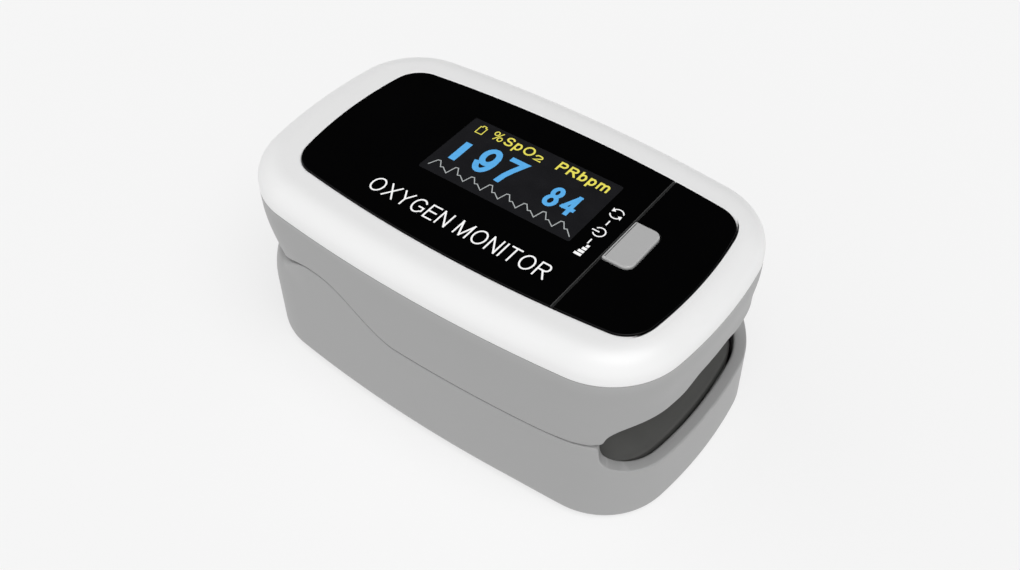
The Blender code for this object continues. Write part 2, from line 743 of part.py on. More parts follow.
def flex_cable():
    """The ribbon from the main board round the hinge to the photodiode board."""
    path = [(-1.4, 10.45), (-12.0, 10.45), (-22.0, 10.45), (-23.2, 10.7), (-23.8, 11.4), (-24.0, 12.6)]
    path += [(-24.2, 15.0), (-24.2, 18.0), (-24.0, 20.0), (-23.6, 21.3), (-22.9, 21.9)]
    path.append((-21.6, 22.05))
    return make_part(ribbon("flex_cable", path, 3.0, 0.2), FLEX_AMBER)


# --- upper half -----------------------------------------------------------------------------


def upper_shell(parent):
    levels = [12.9, 15.9, 17.0, 18.0, 19.0, 20.0, 21.2, 23.0, SHELL_TOP]
    rings = [housing_ring(z, 0.0, upper_pinch(z)) for z in levels]
    shell = loft("upper_shell", rings)
    inner_levels = [12.0] + levels[1:-1] + [26.0]
    inside = [housing_ring(z, UPPER_WALL, upper_pinch(z)) for z in inner_levels]
    cut(shell, loft("cut_upper_inside", inside), below_parting())
    cut(shell, prism("cut_arch", mouth_points(arch_z, 10.0), MOUTH_REAR_X, BEYOND_X, "X"))
    return make_part(shell, LIGHT_GREY, origin=(HINGE_X, 0.0, HINGE_Z), parent=parent)


def top_cover(parent):
    rings = [housing_ring(COVER_BOTTOM)]
    steps = 5
    for i in range(steps + 1):
        angle = math.pi / 2 * i / steps
        z = COVER_SIDE_TOP + (COVER_TOP - COVER_SIDE_TOP) * math.sin(angle)
        rings.append(housing_ring(z, RIM_WIDTH * (1 - math.cos(angle))))
    cover = loft("top_cover", rings)
    inside = [housing_ring(23.0, WALL + 0.1), housing_ring(25.0, WALL + 0.1), housing_ring(25.7, 2.8)]
    cut(cover, loft("cut_cover_inside", inside))
    for side, (x, y) in UPPER_SCREWS.items():
        join(cover, cylinder("fit_cover_boss_" + side, 1.6, (x, y, 24.2), 4.0, segments=16))
        cut(cover, cylinder("cut_cover_boss_" + side, 1.0, (x, y, 23.0), 4.4, segments=16))
    cut(cover, prism("cut_panel_pocket", plan_points(PANEL, -GAP), PANEL_BOTTOM - GAP, 30.0))
    aperture = ((DISPLAY_X - 11.8, DISPLAY_Y - 6.4, 25.0), (DISPLAY_X + 11.8, DISPLAY_Y + 6.4, 30.0))
    cut(cover, box("cut_display_aperture", *aperture))
    cut(cover, prism("cut_cover_key", key_outline(GAP), 25.0, 30.0))
    return make_part(cover, WHITE, origin=(HINGE_X, 0.0, HINGE_Z), parent=parent)


def key_outline(grow=0.0):
    """The key's outline: straight at the seam, rounded at its two far corners."""
    radius = 1.1 + grow
    left = KEY_LEFT_X - grow
    right = KEY_LEFT_X + BUTTON_LENGTH + grow
    half = BUTTON_WIDTH / 2 + grow
    points = [(left, BUTTON_Y - half)]
    for start, sign in ((-90.0, -1), (0.0, 1)):
        for i in range(5):
            angle = math.radians(start + 90.0 * i / 4)
            x = right - radius + radius * math.cos(angle)
            points.append((x, BUTTON_Y + sign * (half - radius) + radius * math.sin(angle)))
    return points + [(left, BUTTON_Y + half)]


def panel_plates(parent):
    """The two gloss plates of the face, split at the seam."""
    plan = plan_points(PANEL)
    window = prism("display_window", plan, PANEL_BOTTOM, PANEL_TOP)
    cut(window, box("cut_window_side", (SEAM_X - 0.1, -20.0, 26.0), (40.0, 20.0, 30.0)))
    make_part(window, GLOSS_BLACK, origin=(HINGE_X, 0.0, HINGE_Z), parent=parent)
    fascia = prism("button_fascia", plan, PANEL_BOTTOM, PANEL_TOP)
    cut(fascia, box("cut_fascia_side", (-40.0, -20.0, 26.0), (SEAM_X + 0.1, 20.0, 30.0)))
    cut(fascia, prism("cut_fascia_key", key_outline(0.25), 26.0, 30.0))
    make_part(fascia, GLOSS_BLACK, origin=(HINGE_X, 0.0, HINGE_Z), parent=parent)


def power_button(parent):
    key = prism("power_button", key_outline(), 25.1, BUTTON_TOP)
    join(key, prism("fit_key_flange", key_outline(0.8), 25.05, 25.4))
    return make_part(key, KEY_GREY, origin=(SEAM_X + 2.0, BUTTON_Y, PANEL_TOP), parent=parent)


def upper_finger_pad(parent):
    spots = pad_rows(PAD_REAR_X, PAD_HALF_WIDTH, UPPER_PAD_INSET)
    pad = slab("upper_finger_pad", upper_pad_bottom, PAD_THICKNESS, spots)
    cut(pad, box("cut_emitter_window", (SENSOR_X - 3.5, -3.0, 18.0), (SENSOR_X + 3.5, 3.0, 22.0)))
    return make_part(pad, RUBBER, origin=(HINGE_X, 0.0, HINGE_Z), parent=parent)


def upper_inner_frame(parent):
    """The seat over the finger, with the deck and the lugs that carry it on the hinge."""
    rise = PAD_THICKNESS + PAD_SEAT_GAP
    spots = pad_rows(FRAME_REAR_X, FRAME_HALF_WIDTH, UPPER_PAD_INSET)
    frame = slab("upper_inner_frame", lowered(upper_pad_bottom, -rise), FRAME_THICKNESS, spots)
    join(frame, deck_plate("fit_upper_deck", UPPER_DECK_INSET, UPPER_DECK_Z, -23.0, -12.3))
    near, far = UPPER_LUG_Y
    join(frame, lug("fit_upper_lug_left", near, far, UPPER_DECK_Z + 0.4))
    join(frame, lug("fit_upper_lug_right", -far, -near, UPPER_DECK_Z + 0.4))
    for side, (x, y) in UPPER_SCREWS.items():
        cut(frame, cylinder("cut_upper_screw_" + side, 1.0, (x, y, 21.5), 4.0, segments=16))
    cut(frame, hinge_bore("cut_upper_bore"))
    cut(frame, box("cut_emitter", (SENSOR_X - 2.2, -2.2, 19.0), (SENSOR_X + 2.2, 2.2, 24.0)))
    cut(frame, box("cut_upper_cable_slot", (-24.0, -2.3, 20.0), (-20.8, 2.3, 24.0)))
    return make_part(frame, FRAME_GREY, origin=(HINGE_X, 0.0, HINGE_Z), parent=parent)


def upper_screws(parent):
    for side, (x, y) in UPPER_SCREWS.items():
        screw = pan_screw("upper_screw_" + side, x, y, 20.1, 1.5, 0.7, 0.7, 4.6)
        make_part(screw, STEEL, parent=parent)


def electronics(parent):
    top = BOARD_Z + BOARD_THICKNESS
    board = box("main_board", (-24.2, -12.0, BOARD_Z), (20.8, 12.0, top))
    make_part(board, BOARD_GREEN, parent=parent)
    left = DISPLAY_X - 13.35
    bottom = DISPLAY_Y - 11.6
    oled = box("oled_display", (left, bottom, top + 0.3), (left + 26.7, bottom + 19.2, top + 1.8))
    make_part(oled, DISPLAY_GLASS, parent=parent)
    tail = prism(
        "display_flex",
        [(bottom - 0.2, top + 1.2), (bottom - 1.2, top + 0.9), (bottom - 1.7, top + 0.3)]
        + [(bottom - 1.9, top + 0.3), (bottom - 1.35, top + 1.05), (bottom - 0.2, top + 1.4)],
        DISPLAY_X - 6.0,
        DISPLAY_X + 6.0,
        "X",
    )
    make_part(tail, FLEX_AMBER, parent=parent)
    chip = box("microcontroller", (-21.5, -3.5, top + 0.2), (-14.5, 3.5, top + 1.2))
    make_part(chip, CHIP_BLACK, parent=parent)
    middle = KEY_LEFT_X + BUTTON_LENGTH / 2
    half = 2.4
    corners = ((middle - half, BUTTON_Y - half, top + 0.2), (middle + half, BUTTON_Y + half, top + 0.8))
    switch = box("tact_switch", *corners)
    join(switch, cylinder("fit_switch_plunger", 1.3, (middle, BUTTON_Y, top + 0.85), 0.5, segments=16))
    make_part(switch, STEEL, parent=parent)
    x = SENSOR_X
    make_part(box("led_emitter", (x - 1.6, -1.4, 21.55), (x + 1.6, 1.4, 22.15)), LED_RED, parent=parent)
    make_part(box("emitter_window", (x - 3.2, -2.7, 19.75), (x + 3.2, 2.7, 20.7)), CLEAR, parent=parent)


# --- assembly -------------------------------------------------------------------------------


def build():
    hinge_axis = axis_empty("hinge_axis", HINGE_X, 0.0, HINGE_Z)
    door_axis = axis_empty("door_axis", 0.0, 0.0, 0.0)
    key_axis = axis_empty("key_axis", SEAM_X + 2.0, BUTTON_Y, PANEL_TOP)
    key_axis.parent = hinge_axis
    key_axis.matrix_parent_inverse = Matrix.Translation(-hinge_axis.location)
    lower_shell()
    lower_inner_frame()
    lower_finger_pad()
    hinge_pin()
    torsion_spring("left", 1)
    torsion_spring("right", -1)
    photodiode_parts()
    battery_parts()
    lower_screws()
    flex_cable()
    battery_door(door_axis)
    upper_shell(hinge_axis)
    top_cover(hinge_axis)
    panel_plates(hinge_axis)
    upper_inner_frame(hinge_axis)
    upper_finger_pad(hinge_axis)
    upper_screws(hinge_axis)
    electronics(hinge_axis)
    power_button(key_axis)


build()
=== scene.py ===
"""Fingertip pulse oximeter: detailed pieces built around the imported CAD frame.

Frame: +X points out of the finger opening, +Z up, origin at the centre of the flat underside.
Sizes are in millimetres here and become metres where vertices are made.
"""

import math

import bmesh
import bpy
import numpy as np
from mathutils import Matrix, Vector


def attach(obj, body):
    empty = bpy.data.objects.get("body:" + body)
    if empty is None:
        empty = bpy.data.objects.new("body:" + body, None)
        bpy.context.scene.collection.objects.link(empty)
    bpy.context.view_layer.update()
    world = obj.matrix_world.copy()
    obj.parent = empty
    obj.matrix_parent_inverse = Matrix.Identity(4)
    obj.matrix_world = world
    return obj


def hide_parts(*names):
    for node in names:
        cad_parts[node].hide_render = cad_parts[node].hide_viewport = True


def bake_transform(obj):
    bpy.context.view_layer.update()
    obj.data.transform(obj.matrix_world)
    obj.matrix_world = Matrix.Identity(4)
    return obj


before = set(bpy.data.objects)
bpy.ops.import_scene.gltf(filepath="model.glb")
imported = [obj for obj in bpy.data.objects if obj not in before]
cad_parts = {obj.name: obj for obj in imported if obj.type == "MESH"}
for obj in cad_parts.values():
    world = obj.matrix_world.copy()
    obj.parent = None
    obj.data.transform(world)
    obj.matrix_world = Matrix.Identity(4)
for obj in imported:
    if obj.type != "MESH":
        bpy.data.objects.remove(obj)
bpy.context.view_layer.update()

MM = 0.001

# Plan outlines: two side arcs, two end arcs and four corner arcs.
BODY_PLAN = {"length": 60.0, "width": 36.0, "side": 188.0, "end": 58.7, "corner": 9.9, "x": 0.0}
PANEL_PLAN = {"length": 50.6, "width": 25.8, "side": 172.0, "end": 47.7, "corner": 3.9, "x": 1.25}

# Heights of the housing.
SHELL_TOP = 24.33
COVER_BOTTOM = 24.35
COVER_SIDE_TOP = 25.0
COVER_TOP = 27.85
POCKET_FLOOR = 26.7
PANEL_BOTTOM = 27.0
PANEL_TOP = 28.0
KEY_TOP = 28.2
BOTTOM_ROUND = 2.0
BOTTOM_ROUND_FRONT = 0.9
BOTTOM_ROUND_X = (12.0, 30.0)
FLOOR = 2.0
WALL = 1.6
UPPER_WALL = 1.2
REAR_RADIUS = 0.9

# How far the two ends draw in towards the meeting line.
PINCH_X = (17.0, 27.0)
UPPER_PINCH_FRONT = 0.45
UPPER_PINCH_REAR = 1.5
UPPER_PINCH_Z = (15.9, 23.0)
LOWER_PINCH_FRONT = 0.2
LOWER_PINCH_REAR = 1.0
LOWER_PINCH_Z = (9.5, 14.0)

# Meeting line of the halves and the finger opening.
PARTING_FRONT = 13.4
PARTING_EAR = 18.15
PARTING_GAP = 0.14
RAMP_FRONT_X = -2.5
RAMP_REAR_X = -14.5
EAR_REAR_X = -16.2
WEDGE_REAR_X = -25.0
WEDGE_DEPTH = 4.0
OPEN_ANGLE = 12.0
MOUTH_HALF_WIDTH = 15.5
MOUTH_REAR_X = 20.0
MOUTH_TIP = 1.1
LIP_DEPTH = 5.1
ARCH_HALF_WIDTH = 15.25
ARCH_BASE = 13.9
ARCH_RISE = 3.0
HUMP_RISE = 0.9
HUMP_OUTER = 6.5
HUMP_INNER = 2.5
EDGE_RADIUS = 0.16
LIP_RADIUS = 0.25

# Hinge.
HINGE_X = -17.5
HINGE_Z = 15.6

# Face of the panel.
WINDOW_RIGHT = 15.64
FASCIA_LEFT = 15.86
KEY_LEFT = 15.80
KEY_RIGHT = 19.5
KEY_Y = 0.3
KEY_HALF = 3.5
KEY_CORNER = 1.1
KEY_GAP = 0.12
PANEL_EDGE = 0.05
SCREEN_X = (-10.15, 11.6)
SCREEN_Y = (-3.25, 7.85)
SCREEN_CORNER = 0.3

# Door and screws on the underside.
DOOR_HALF_WIDTH = 12.3
DOOR_FRONT_X = 17.05
DOOR_THICKNESS = 1.2
LOWER_SCREWS = ((22.3, 11.2), (22.3, -11.2))

# AAA cells and the ribbon between the halves, as (x, z) points.
CELL_RADIUS = 5.1
CELL_Z = 6.6
RIBBON_WIDTH = 3.0
RIBBON_THICKNESS = 0.2
RIBBON_PATH = (
    (-1.4, 10.45), (-12.0, 10.45), (-21.6, 10.45), (-23.2, 10.75), (-24.0, 12.2),
    (-24.2, 15.0), (-24.2, 18.0), (-24.0, 20.0), (-23.3, 21.6), (-21.6, 22.05),
)

# Finger pads.
PAD_REAR_X = -12.3
LOWER_PAD_INSET = 2.0
UPPER_PAD_INSET = 2.6
PAD_HALF_WIDTH = 14.0
PAD_THICKNESS = 1.2
PAD_EDGE_DROP = 0.35
PAD_SLOPE_X = 19.0
SENSOR_X = 4.0
SENSOR_HALF_X = 3.5
LENS_HALF_X = 3.2

# Camera, sun and surround. Ways are directions in the frame.
CAMERA_PLACE = (64.64, -82.13, 120.4)
CAMERA_RIGHT = (0.7968, 0.6041, -0.0119)
CAMERA_BACK = (0.4244, -0.5455, 0.7227)
CAMERA_LENS = 42.32
DARK_WAY = (-0.4244, 0.5455, 0.7227)
SHADED_WAY = (0.4, 0.9, 0.12)
SUN_WAY = (0.4, -0.2, 1.0)
FLOOR_Z = -0.03
FLOOR_HALF_M = 6.0

# How finely the walls and pads are sampled.
DENSE = 6000
COLUMNS = 480
PAD_ROWS = 97
PAD_COLUMNS = 110


# --- plan outlines ---


def smooth(t):
    t = np.clip(t, 0.0, 1.0)
    return t * t * (3.0 - 2.0 * t)


class Plan:
    """A closed outline sampled by distance from its front centre, anticlockwise."""

    def __init__(self, length, width, side, end, corner, x):
        side_centre = np.array((0.0, width / 2 - side))
        end_centre = np.array((length / 2 - end, 0.0))
        apart = np.linalg.norm(end_centre - side_centre)
        along = ((side - corner) ** 2 - (end - corner) ** 2 + apart**2) / (2 * apart)
        across = math.sqrt((side - corner) ** 2 - along**2)
        unit = (end_centre - side_centre) / apart
        corner_centre = side_centre + unit * along + np.array((unit[1], -unit[0])) * across
        low = math.atan2(*(corner_centre - end_centre)[::-1])
        high = math.atan2(*(corner_centre - side_centre)[::-1])
        angles = np.concatenate((
            np.linspace(0, low, 60, endpoint=False),
            np.linspace(low, high, 80, endpoint=False),
            np.linspace(high, math.pi / 2, 101),
        ))
        normal = np.stack((np.cos(angles), np.sin(angles)), 1)
        after_end = np.where((angles < high)[:, None], corner_centre, side_centre)
        centre = np.where((angles < low)[:, None], end_centre, after_end)
        radius = np.where(angles < low, end, np.where(angles < high, corner, side))
        quarter = centre + normal * radius[:, None]
        flip_x = np.array((-1.0, 1.0))
        half = np.concatenate((quarter, (quarter * flip_x)[-2::-1]))
        half_angle = np.concatenate((angles, math.pi - angles[-2::-1]))
        self.points = np.concatenate((half, -half[1:])) + (x, 0.0)
        self.angles = np.concatenate((half_angle, half_angle[1:] + math.pi))
        steps = np.linalg.norm(np.diff(self.points, axis=0), axis=1)
        self.s = np.concatenate(((0.0,), np.cumsum(steps)))
        self.length = self.s[-1]

    def at(self, s):
        """x, y and the outward normal at distances round the outline."""
        s = np.mod(s, self.length)
        angle = np.interp(s, self.s, self.angles)
        x, y = (np.interp(s, self.s, self.points[:, axis]) for axis in (0, 1))
        return x, y, np.cos(angle), np.sin(angle)

    def angle_at(self, s):
        return np.interp(np.mod(s, self.length), self.s, self.angles)

    def facing(self, angle):
        """Distance round the outline at which the normal has these angles."""
        return np.interp(angle, self.angles, self.s)


BODY = Plan(**BODY_PLAN)
PANEL = Plan(**PANEL_PLAN)


def ring(plan, s, z, inset=0.0, pinch=None):
    """Points round a plan at given heights, moved inward, and further in at the two ends."""
    x, y, nx, ny = plan.at(s)
    inward = inset + (pinch(x, z) if pinch else 0.0)
    return np.stack((x - nx * inward, y - ny * inward, np.broadcast_to(z, x.shape)), 1)


def lower_pinch(x, z):
    low, high = LOWER_PINCH_Z
    share = np.maximum((np.minimum(z, high) - low) / (high - low), 0.0) ** 2
    reach = smooth((np.abs(x) - PINCH_X[0]) / (PINCH_X[1] - PINCH_X[0]))
    return reach * share * np.where(x > 0, LOWER_PINCH_FRONT, LOWER_PINCH_REAR)


def upper_pinch(x, z):
    low, high = UPPER_PINCH_Z
    below = np.maximum(high - np.maximum(z, low), 0.0)
    reach = smooth((np.abs(x) - PINCH_X[0]) / (PINCH_X[1] - PINCH_X[0]))
    rear = UPPER_PINCH_REAR * (below / (high - low)) ** 2.2
    return reach * np.where(x > 0, UPPER_PINCH_FRONT * smooth(below / 5.0), rear)


def bottom_ring(s, angle):
    """A ring of the rounded bottom edge, at an angle between the underside (0) and the wall (90)."""
    x, y, nx, ny = BODY.at(s)
    start, stop = BOTTOM_ROUND_X
    radius = BOTTOM_ROUND + (BOTTOM_ROUND_FRONT - BOTTOM_ROUND) * smooth((x - start) / (stop - start))
    inward = radius * (1 - math.sin(math.radians(angle)))
    return np.stack((x - nx * inward, y - ny * inward, radius * (1 - math.cos(math.radians(angle)))), 1)


# --- edges of the halves ---


def parting_z(x):
    ramp = smooth((RAMP_FRONT_X - x) / (RAMP_FRONT_X - RAMP_REAR_X))
    return PARTING_FRONT + (PARTING_EAR - PARTING_FRONT) * ramp


def lip_z(y):
    across = np.minimum(np.abs(y) / MOUTH_HALF_WIDTH, 1.0)
    return PARTING_FRONT - 0.1 - LIP_DEPTH * (1 - across**4) ** 0.25


def arch_z(y):
    """Height of the opening's upper edge, which runs out to the meeting line beyond the corners."""
    across = np.minimum(np.abs(y) / ARCH_HALF_WIDTH, 1.0)
    hump = smooth((HUMP_OUTER - np.abs(y)) / (HUMP_OUTER - HUMP_INNER))
    tip = smooth((np.abs(y) - ARCH_HALF_WIDTH) / MOUTH_TIP)
    arch = ARCH_BASE + ARCH_RISE * np.sqrt(1 - across**10) + HUMP_RISE * hump
    return arch + (PARTING_FRONT - ARCH_BASE) * tip


def split_z(x):
    """Height of the meeting line along the sides, down into the wedge behind the hinge."""
    fall = smooth((EAR_REAR_X - x) / (EAR_REAR_X - WEDGE_REAR_X))
    return parting_z(x) - WEDGE_DEPTH * fall


def lower_edge(x, y):
    in_mouth = (x > MOUTH_REAR_X) & (np.abs(y) < MOUTH_HALF_WIDTH)
    return np.where(in_mouth, np.minimum(split_z(x), lip_z(y)), split_z(x))


def upper_edge(x, y):
    swing = math.sin(math.radians(OPEN_ANGLE)) * np.maximum(HINGE_X - x, 0.0)
    edge = split_z(x) + PARTING_GAP + swing
    in_mouth = (x > MOUTH_REAR_X) & (np.abs(y) < ARCH_HALF_WIDTH + MOUTH_TIP)
    return np.where(in_mouth, np.maximum(edge, arch_z(y)), edge)


class Edge:
    """A wall's edge as heights round the body, with its corners rounded, and curves set back from it."""

    def __init__(self, height, sign, rounding=0.6):
        self.sign = sign
        self.s = np.arange(DENSE) * BODY.length / DENSE
        x, y, _, _ = BODY.at(self.s)
        raw = height(x, y) * sign
        self.z = -self._back(-self._back(raw, rounding), rounding)

    def _back(self, z, distance):
        """Heights of the curve that lies a distance below z, measured square to it."""
        step = BODY.length / DENSE
        distance = np.broadcast_to(distance, z.shape)
        reach = int(distance.max() / step)
        best = z - distance
        for k in range(-reach, reach + 1):
            inside = distance**2 - (k * step) ** 2
            drop = np.roll(z, k) - np.sqrt(np.maximum(inside, 0.0))
            best = np.where(inside >= 0.0, np.minimum(best, drop), best)
        return best

    def columns(self, count):
        """Distances round the body, closer together where the edge is steep."""
        step = BODY.length / DENSE
        steep = np.minimum(np.abs(np.gradient(self.z, step)), 5.0)
        near = int(1.3 / step)
        for k in range(-near, near + 1, 8):
            steep = np.maximum(steep, 0.8 * np.roll(np.minimum(np.abs(np.gradient(self.z, step)), 5.0), k))
        kernel = np.ones(41) / 41
        density = np.convolve(np.concatenate((steep[-20:], steep, steep[:20])), kernel, "valid")
        total = np.concatenate(((0.0,), np.cumsum(np.sqrt(1 + density**2))))
        return np.interp(np.arange(count) / count * total[-1], total, np.append(self.s, BODY.length))

    def at(self, s, back=0.0):
        """Heights at distances round the body, on the curve set back by an array or a number."""
        if np.ndim(back):
            dense = np.interp(self.s, s, back, period=BODY.length)
            curve = self._back(self.z, dense)
        else:
            curve = self._back(self.z, back) if back else self.z
        return np.interp(s, self.s, curve, period=BODY.length) * self.sign


# --- mesh helpers ---


def add_mesh(name, verts, faces):
    mesh = bpy.data.meshes.new(name)
    mesh.from_pydata([tuple(v) for v in np.asarray(verts) * MM], [], faces)
    bm = bmesh.new()
    bm.from_mesh(mesh)
    bmesh.ops.recalc_face_normals(bm, faces=bm.faces)
    bm.to_mesh(mesh)
    bm.free()
    obj = bpy.data.objects.new(name, mesh)
    bpy.context.scene.collection.objects.link(obj)
    return obj


def loop_mesh(name, rings, closed=False):
    """Rings of equal count joined in order. The ends are capped, or joined to each other if closed."""
    count = len(rings[0])
    faces = []
    pairs = [(i, i + 1) for i in range(len(rings) - 1)]
    if closed:
        pairs.append((len(rings) - 1, 0))
    for a, b in pairs:
        for i in range(count):
            j = (i + 1) % count
            faces.append((a * count + i, a * count + j, b * count + j, b * count + i))
    if not closed:
        faces.append(tuple(range(count))[::-1])
        faces.append(tuple(range((len(rings) - 1) * count, len(rings) * count)))
    return add_mesh(name, np.concatenate(rings), faces)


def sheet_mesh(name, top, bottom):
    """A closed slab from two grids of points of shape (rows, columns, 3)."""
    rows, columns = top.shape[:2]
    size = rows * columns
    faces = []
    for r in range(rows - 1):
        for c in range(columns - 1):
            a = r * columns + c
            quad = (a, a + 1, a + columns + 1, a + columns)
            faces.append(quad)
            faces.append(tuple(v + size for v in quad[::-1]))
    border = list(range(columns)) + [r * columns + columns - 1 for r in range(1, rows)]
    border += [(rows - 1) * columns + c for c in range(columns - 2, -1, -1)]
    border += [r * columns for r in range(rows - 2, 0, -1)]
    for a, b in zip(border, border[1:] + border[:1]):
        faces.append((b, a, a + size, b + size))
    return add_mesh(name, np.concatenate((top.reshape(-1, 3), bottom.reshape(-1, 3))), faces)


def offset_outline(points, distance):
    """A closed anticlockwise outline moved inward, with mitred corners."""
    before = points - np.roll(points, 1, 0)
    after = np.roll(points, -1, 0) - points
    normals = []
    for edge in (before, after):
        unit = edge / np.linalg.norm(edge, axis=1)[:, None]
        normals.append(np.stack((-unit[:, 1], unit[:, 0]), 1))
    share = 1 + np.sum(normals[0] * normals[1], 1)
    return points + (normals[0] + normals[1]) / share[:, None] * distance


def plate(name, outline, low, high, radius, steps=4):
    """A flat plate over an outline, with a rounded upper edge."""
    outline = np.asarray(outline, float)
    levels = [(low, 0.0)]
    for i in range(steps + 1):
        angle = math.pi / 2 * i / steps
        levels.append((high - radius + radius * math.sin(angle), radius * (1 - math.cos(angle))))
    levels.append((high, radius * 1.6))
    rings = []
    for z, inset in levels:
        flat = offset_outline(outline, inset)
        rings.append(np.column_stack((flat, np.full(len(flat), z))))
    return loop_mesh(name, rings)


def turned(name, profile, base, axis="Z", steps=48):
    """A profile of (radius, height) pairs turned about an axis through base."""
    angles = np.arange(steps) * 2 * math.pi / steps
    rings = []
    for radius, height in profile:
        radius = max(radius, 0.001)
        points = np.column_stack((radius * np.cos(angles), radius * np.sin(angles), np.full(steps, height)))
        if axis == "X":
            points = points[:, (2, 0, 1)]
        if axis == "-X":
            points = points[:, (2, 0, 1)] * (-1, 1, 1)
        rings.append(points + base)
    return loop_mesh(name, rings)


def wire(name, points, radius, sides=12):
    """A round wire along a path, with its ends capped."""
    points = np.asarray(points, float)
    along = np.gradient(points, axis=0)
    along /= np.linalg.norm(along, axis=1)[:, None]
    normal = np.cross(along[0], (0.31, 0.17, 0.93))
    rings = []
    angles = np.arange(sides) * 2 * math.pi / sides
    for point, direction in zip(points, along):
        normal = normal - direction * (normal @ direction)
        normal /= np.linalg.norm(normal)
        other = np.cross(direction, normal)
        rings.append(point + radius * (np.outer(np.cos(angles), normal) + np.outer(np.sin(angles), other)))
    return loop_mesh(name, rings)


def box_cutter(low, high):
    corners = rectangle(low[0], low[1], high[0], high[1])
    rings = [np.array([(x, y, z) for x, y in corners]) for z in (low[2], high[2])]
    return loop_mesh("cutter", rings)


def carve(obj, cutters, operation="DIFFERENCE"):
    """Applies exact booleans and removes the cutters."""
    for cutter in cutters:
        modifier = obj.modifiers.new("carve", "BOOLEAN")
        modifier.operation = operation
        modifier.object = cutter
        modifier.solver = "EXACT"
    bpy.context.view_layer.update()
    graph = bpy.context.evaluated_depsgraph_get()
    made = bpy.data.meshes.new_from_object(obj.evaluated_get(graph))
    obj.modifiers.clear()
    obj.data = made
    for cutter in cutters:
        bpy.data.objects.remove(cutter)
    return obj


def shade(obj, angle=32.0):
    """Smooth shading between sharp edges, with caps and level faces left flat."""
    obj.data.shade_smooth()
    obj.data.set_sharp_from_angle(angle=math.radians(angle))
    for face in obj.data.polygons:
        face.use_smooth = face.loop_total <= 8 and abs(face.normal.z) < 0.9999
    return obj


def piece(obj, material, body, replaced=()):
    """Gives a finished mesh its material, body and the CAD nodes it stands for."""
    obj.data.materials.clear()
    obj.data.materials.append(material)
    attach(obj, body)
    if replaced:
        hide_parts(*replaced)
    return obj


# --- materials ---


def tone(colour, factor):
    return tuple(min(c * factor, 1.0) for c in colour) + (1.0,)


def add_node(tree, kind, settings=(), **values):
    """A shader node with its settings and then its input values, underscores standing for spaces."""
    node = tree.nodes.new("ShaderNode" + kind)
    for name, value in settings:
        setattr(node, name, value)
    for name, value in values.items():
        node.inputs[name.replace("_", " ")].default_value = value
    return node


def join(source, output, target, socket):
    source.id_data.links.new(source.outputs[output], target.inputs[socket])


def material(name, colour, roughness, metallic=0.0, grain=0.14, depth=0.003, mottle=0.03, patch=7.0,
             wear=0.08, specular=0.5, coat=0.0, glow=0.0):
    """A moulded or metal surface: broad colour variation, fine grain, uneven gloss and worn edges."""
    made = bpy.data.materials.new(name)
    made.use_nodes = True
    tree = made.node_tree
    shader = tree.nodes["Principled BSDF"]
    shader.inputs["Metallic"].default_value = metallic
    shader.inputs["Specular IOR Level"].default_value = specular
    shader.inputs["Coat Weight"].default_value = coat
    coords = add_node(tree, "TexCoord")

    broad = add_node(tree, "TexNoise", Scale=1.0 / (patch * MM), Detail=4.0)
    join(coords, "Object", broad, "Vector")
    fine = add_node(tree, "TexNoise", Scale=1.0 / (grain * MM), Detail=2.0)
    join(coords, "Object", fine, "Vector")

    mixed = (("data_type", "RGBA"),)
    shades = add_node(tree, "Mix", mixed, A=tone(colour, 1 - mottle), B=tone(colour, 1 + mottle))
    join(broad, "Fac", shades, "Factor")

    # Wear lightens convex edges, but not the level top or underside.
    paler = [c * 0.8 + 0.2 * max(colour) + 0.01 for c in colour]
    worn = add_node(tree, "Mix", mixed, B=tone(paler, 1 + 2 * wear))
    geometry = add_node(tree, "NewGeometry")
    edges = add_node(tree, "MapRange", From_Min=0.52, From_Max=0.62, To_Max=min(8 * wear, 1.0))
    join(geometry, "Pointiness", edges, "Value")
    facing = add_node(tree, "SeparateXYZ")
    join(coords, "Normal", facing, "Vector")
    level = add_node(tree, "Math", (("operation", "ABSOLUTE"),))
    join(facing, "Z", level, 0)
    off_level = add_node(tree, "MapRange", From_Min=0.999, From_Max=0.99)
    join(level, "Value", off_level, "Value")
    rubbed = add_node(tree, "Math", (("operation", "MULTIPLY"),))
    join(edges, "Result", rubbed, 0)
    join(off_level, "Result", rubbed, 1)
    join(rubbed, "Value", worn, "Factor")
    join(shades, "Result", worn, "A")
    join(worn, "Result", shader, "Base Color")

    gloss = add_node(tree, "MapRange", To_Min=max(roughness - 0.06, 0.02), To_Max=roughness + 0.06)
    join(broad, "Fac", gloss, "Value")
    join(gloss, "Result", shader, "Roughness")

    bump = add_node(tree, "Bump", Strength=1.0, Distance=depth * MM)
    join(fine, "Fac", bump, "Height")
    join(bump, "Normal", shader, "Normal")

    if glow:
        shader.inputs["Emission Strength"].default_value = glow
        join(worn, "Result", shader, "Emission Color")
    return made


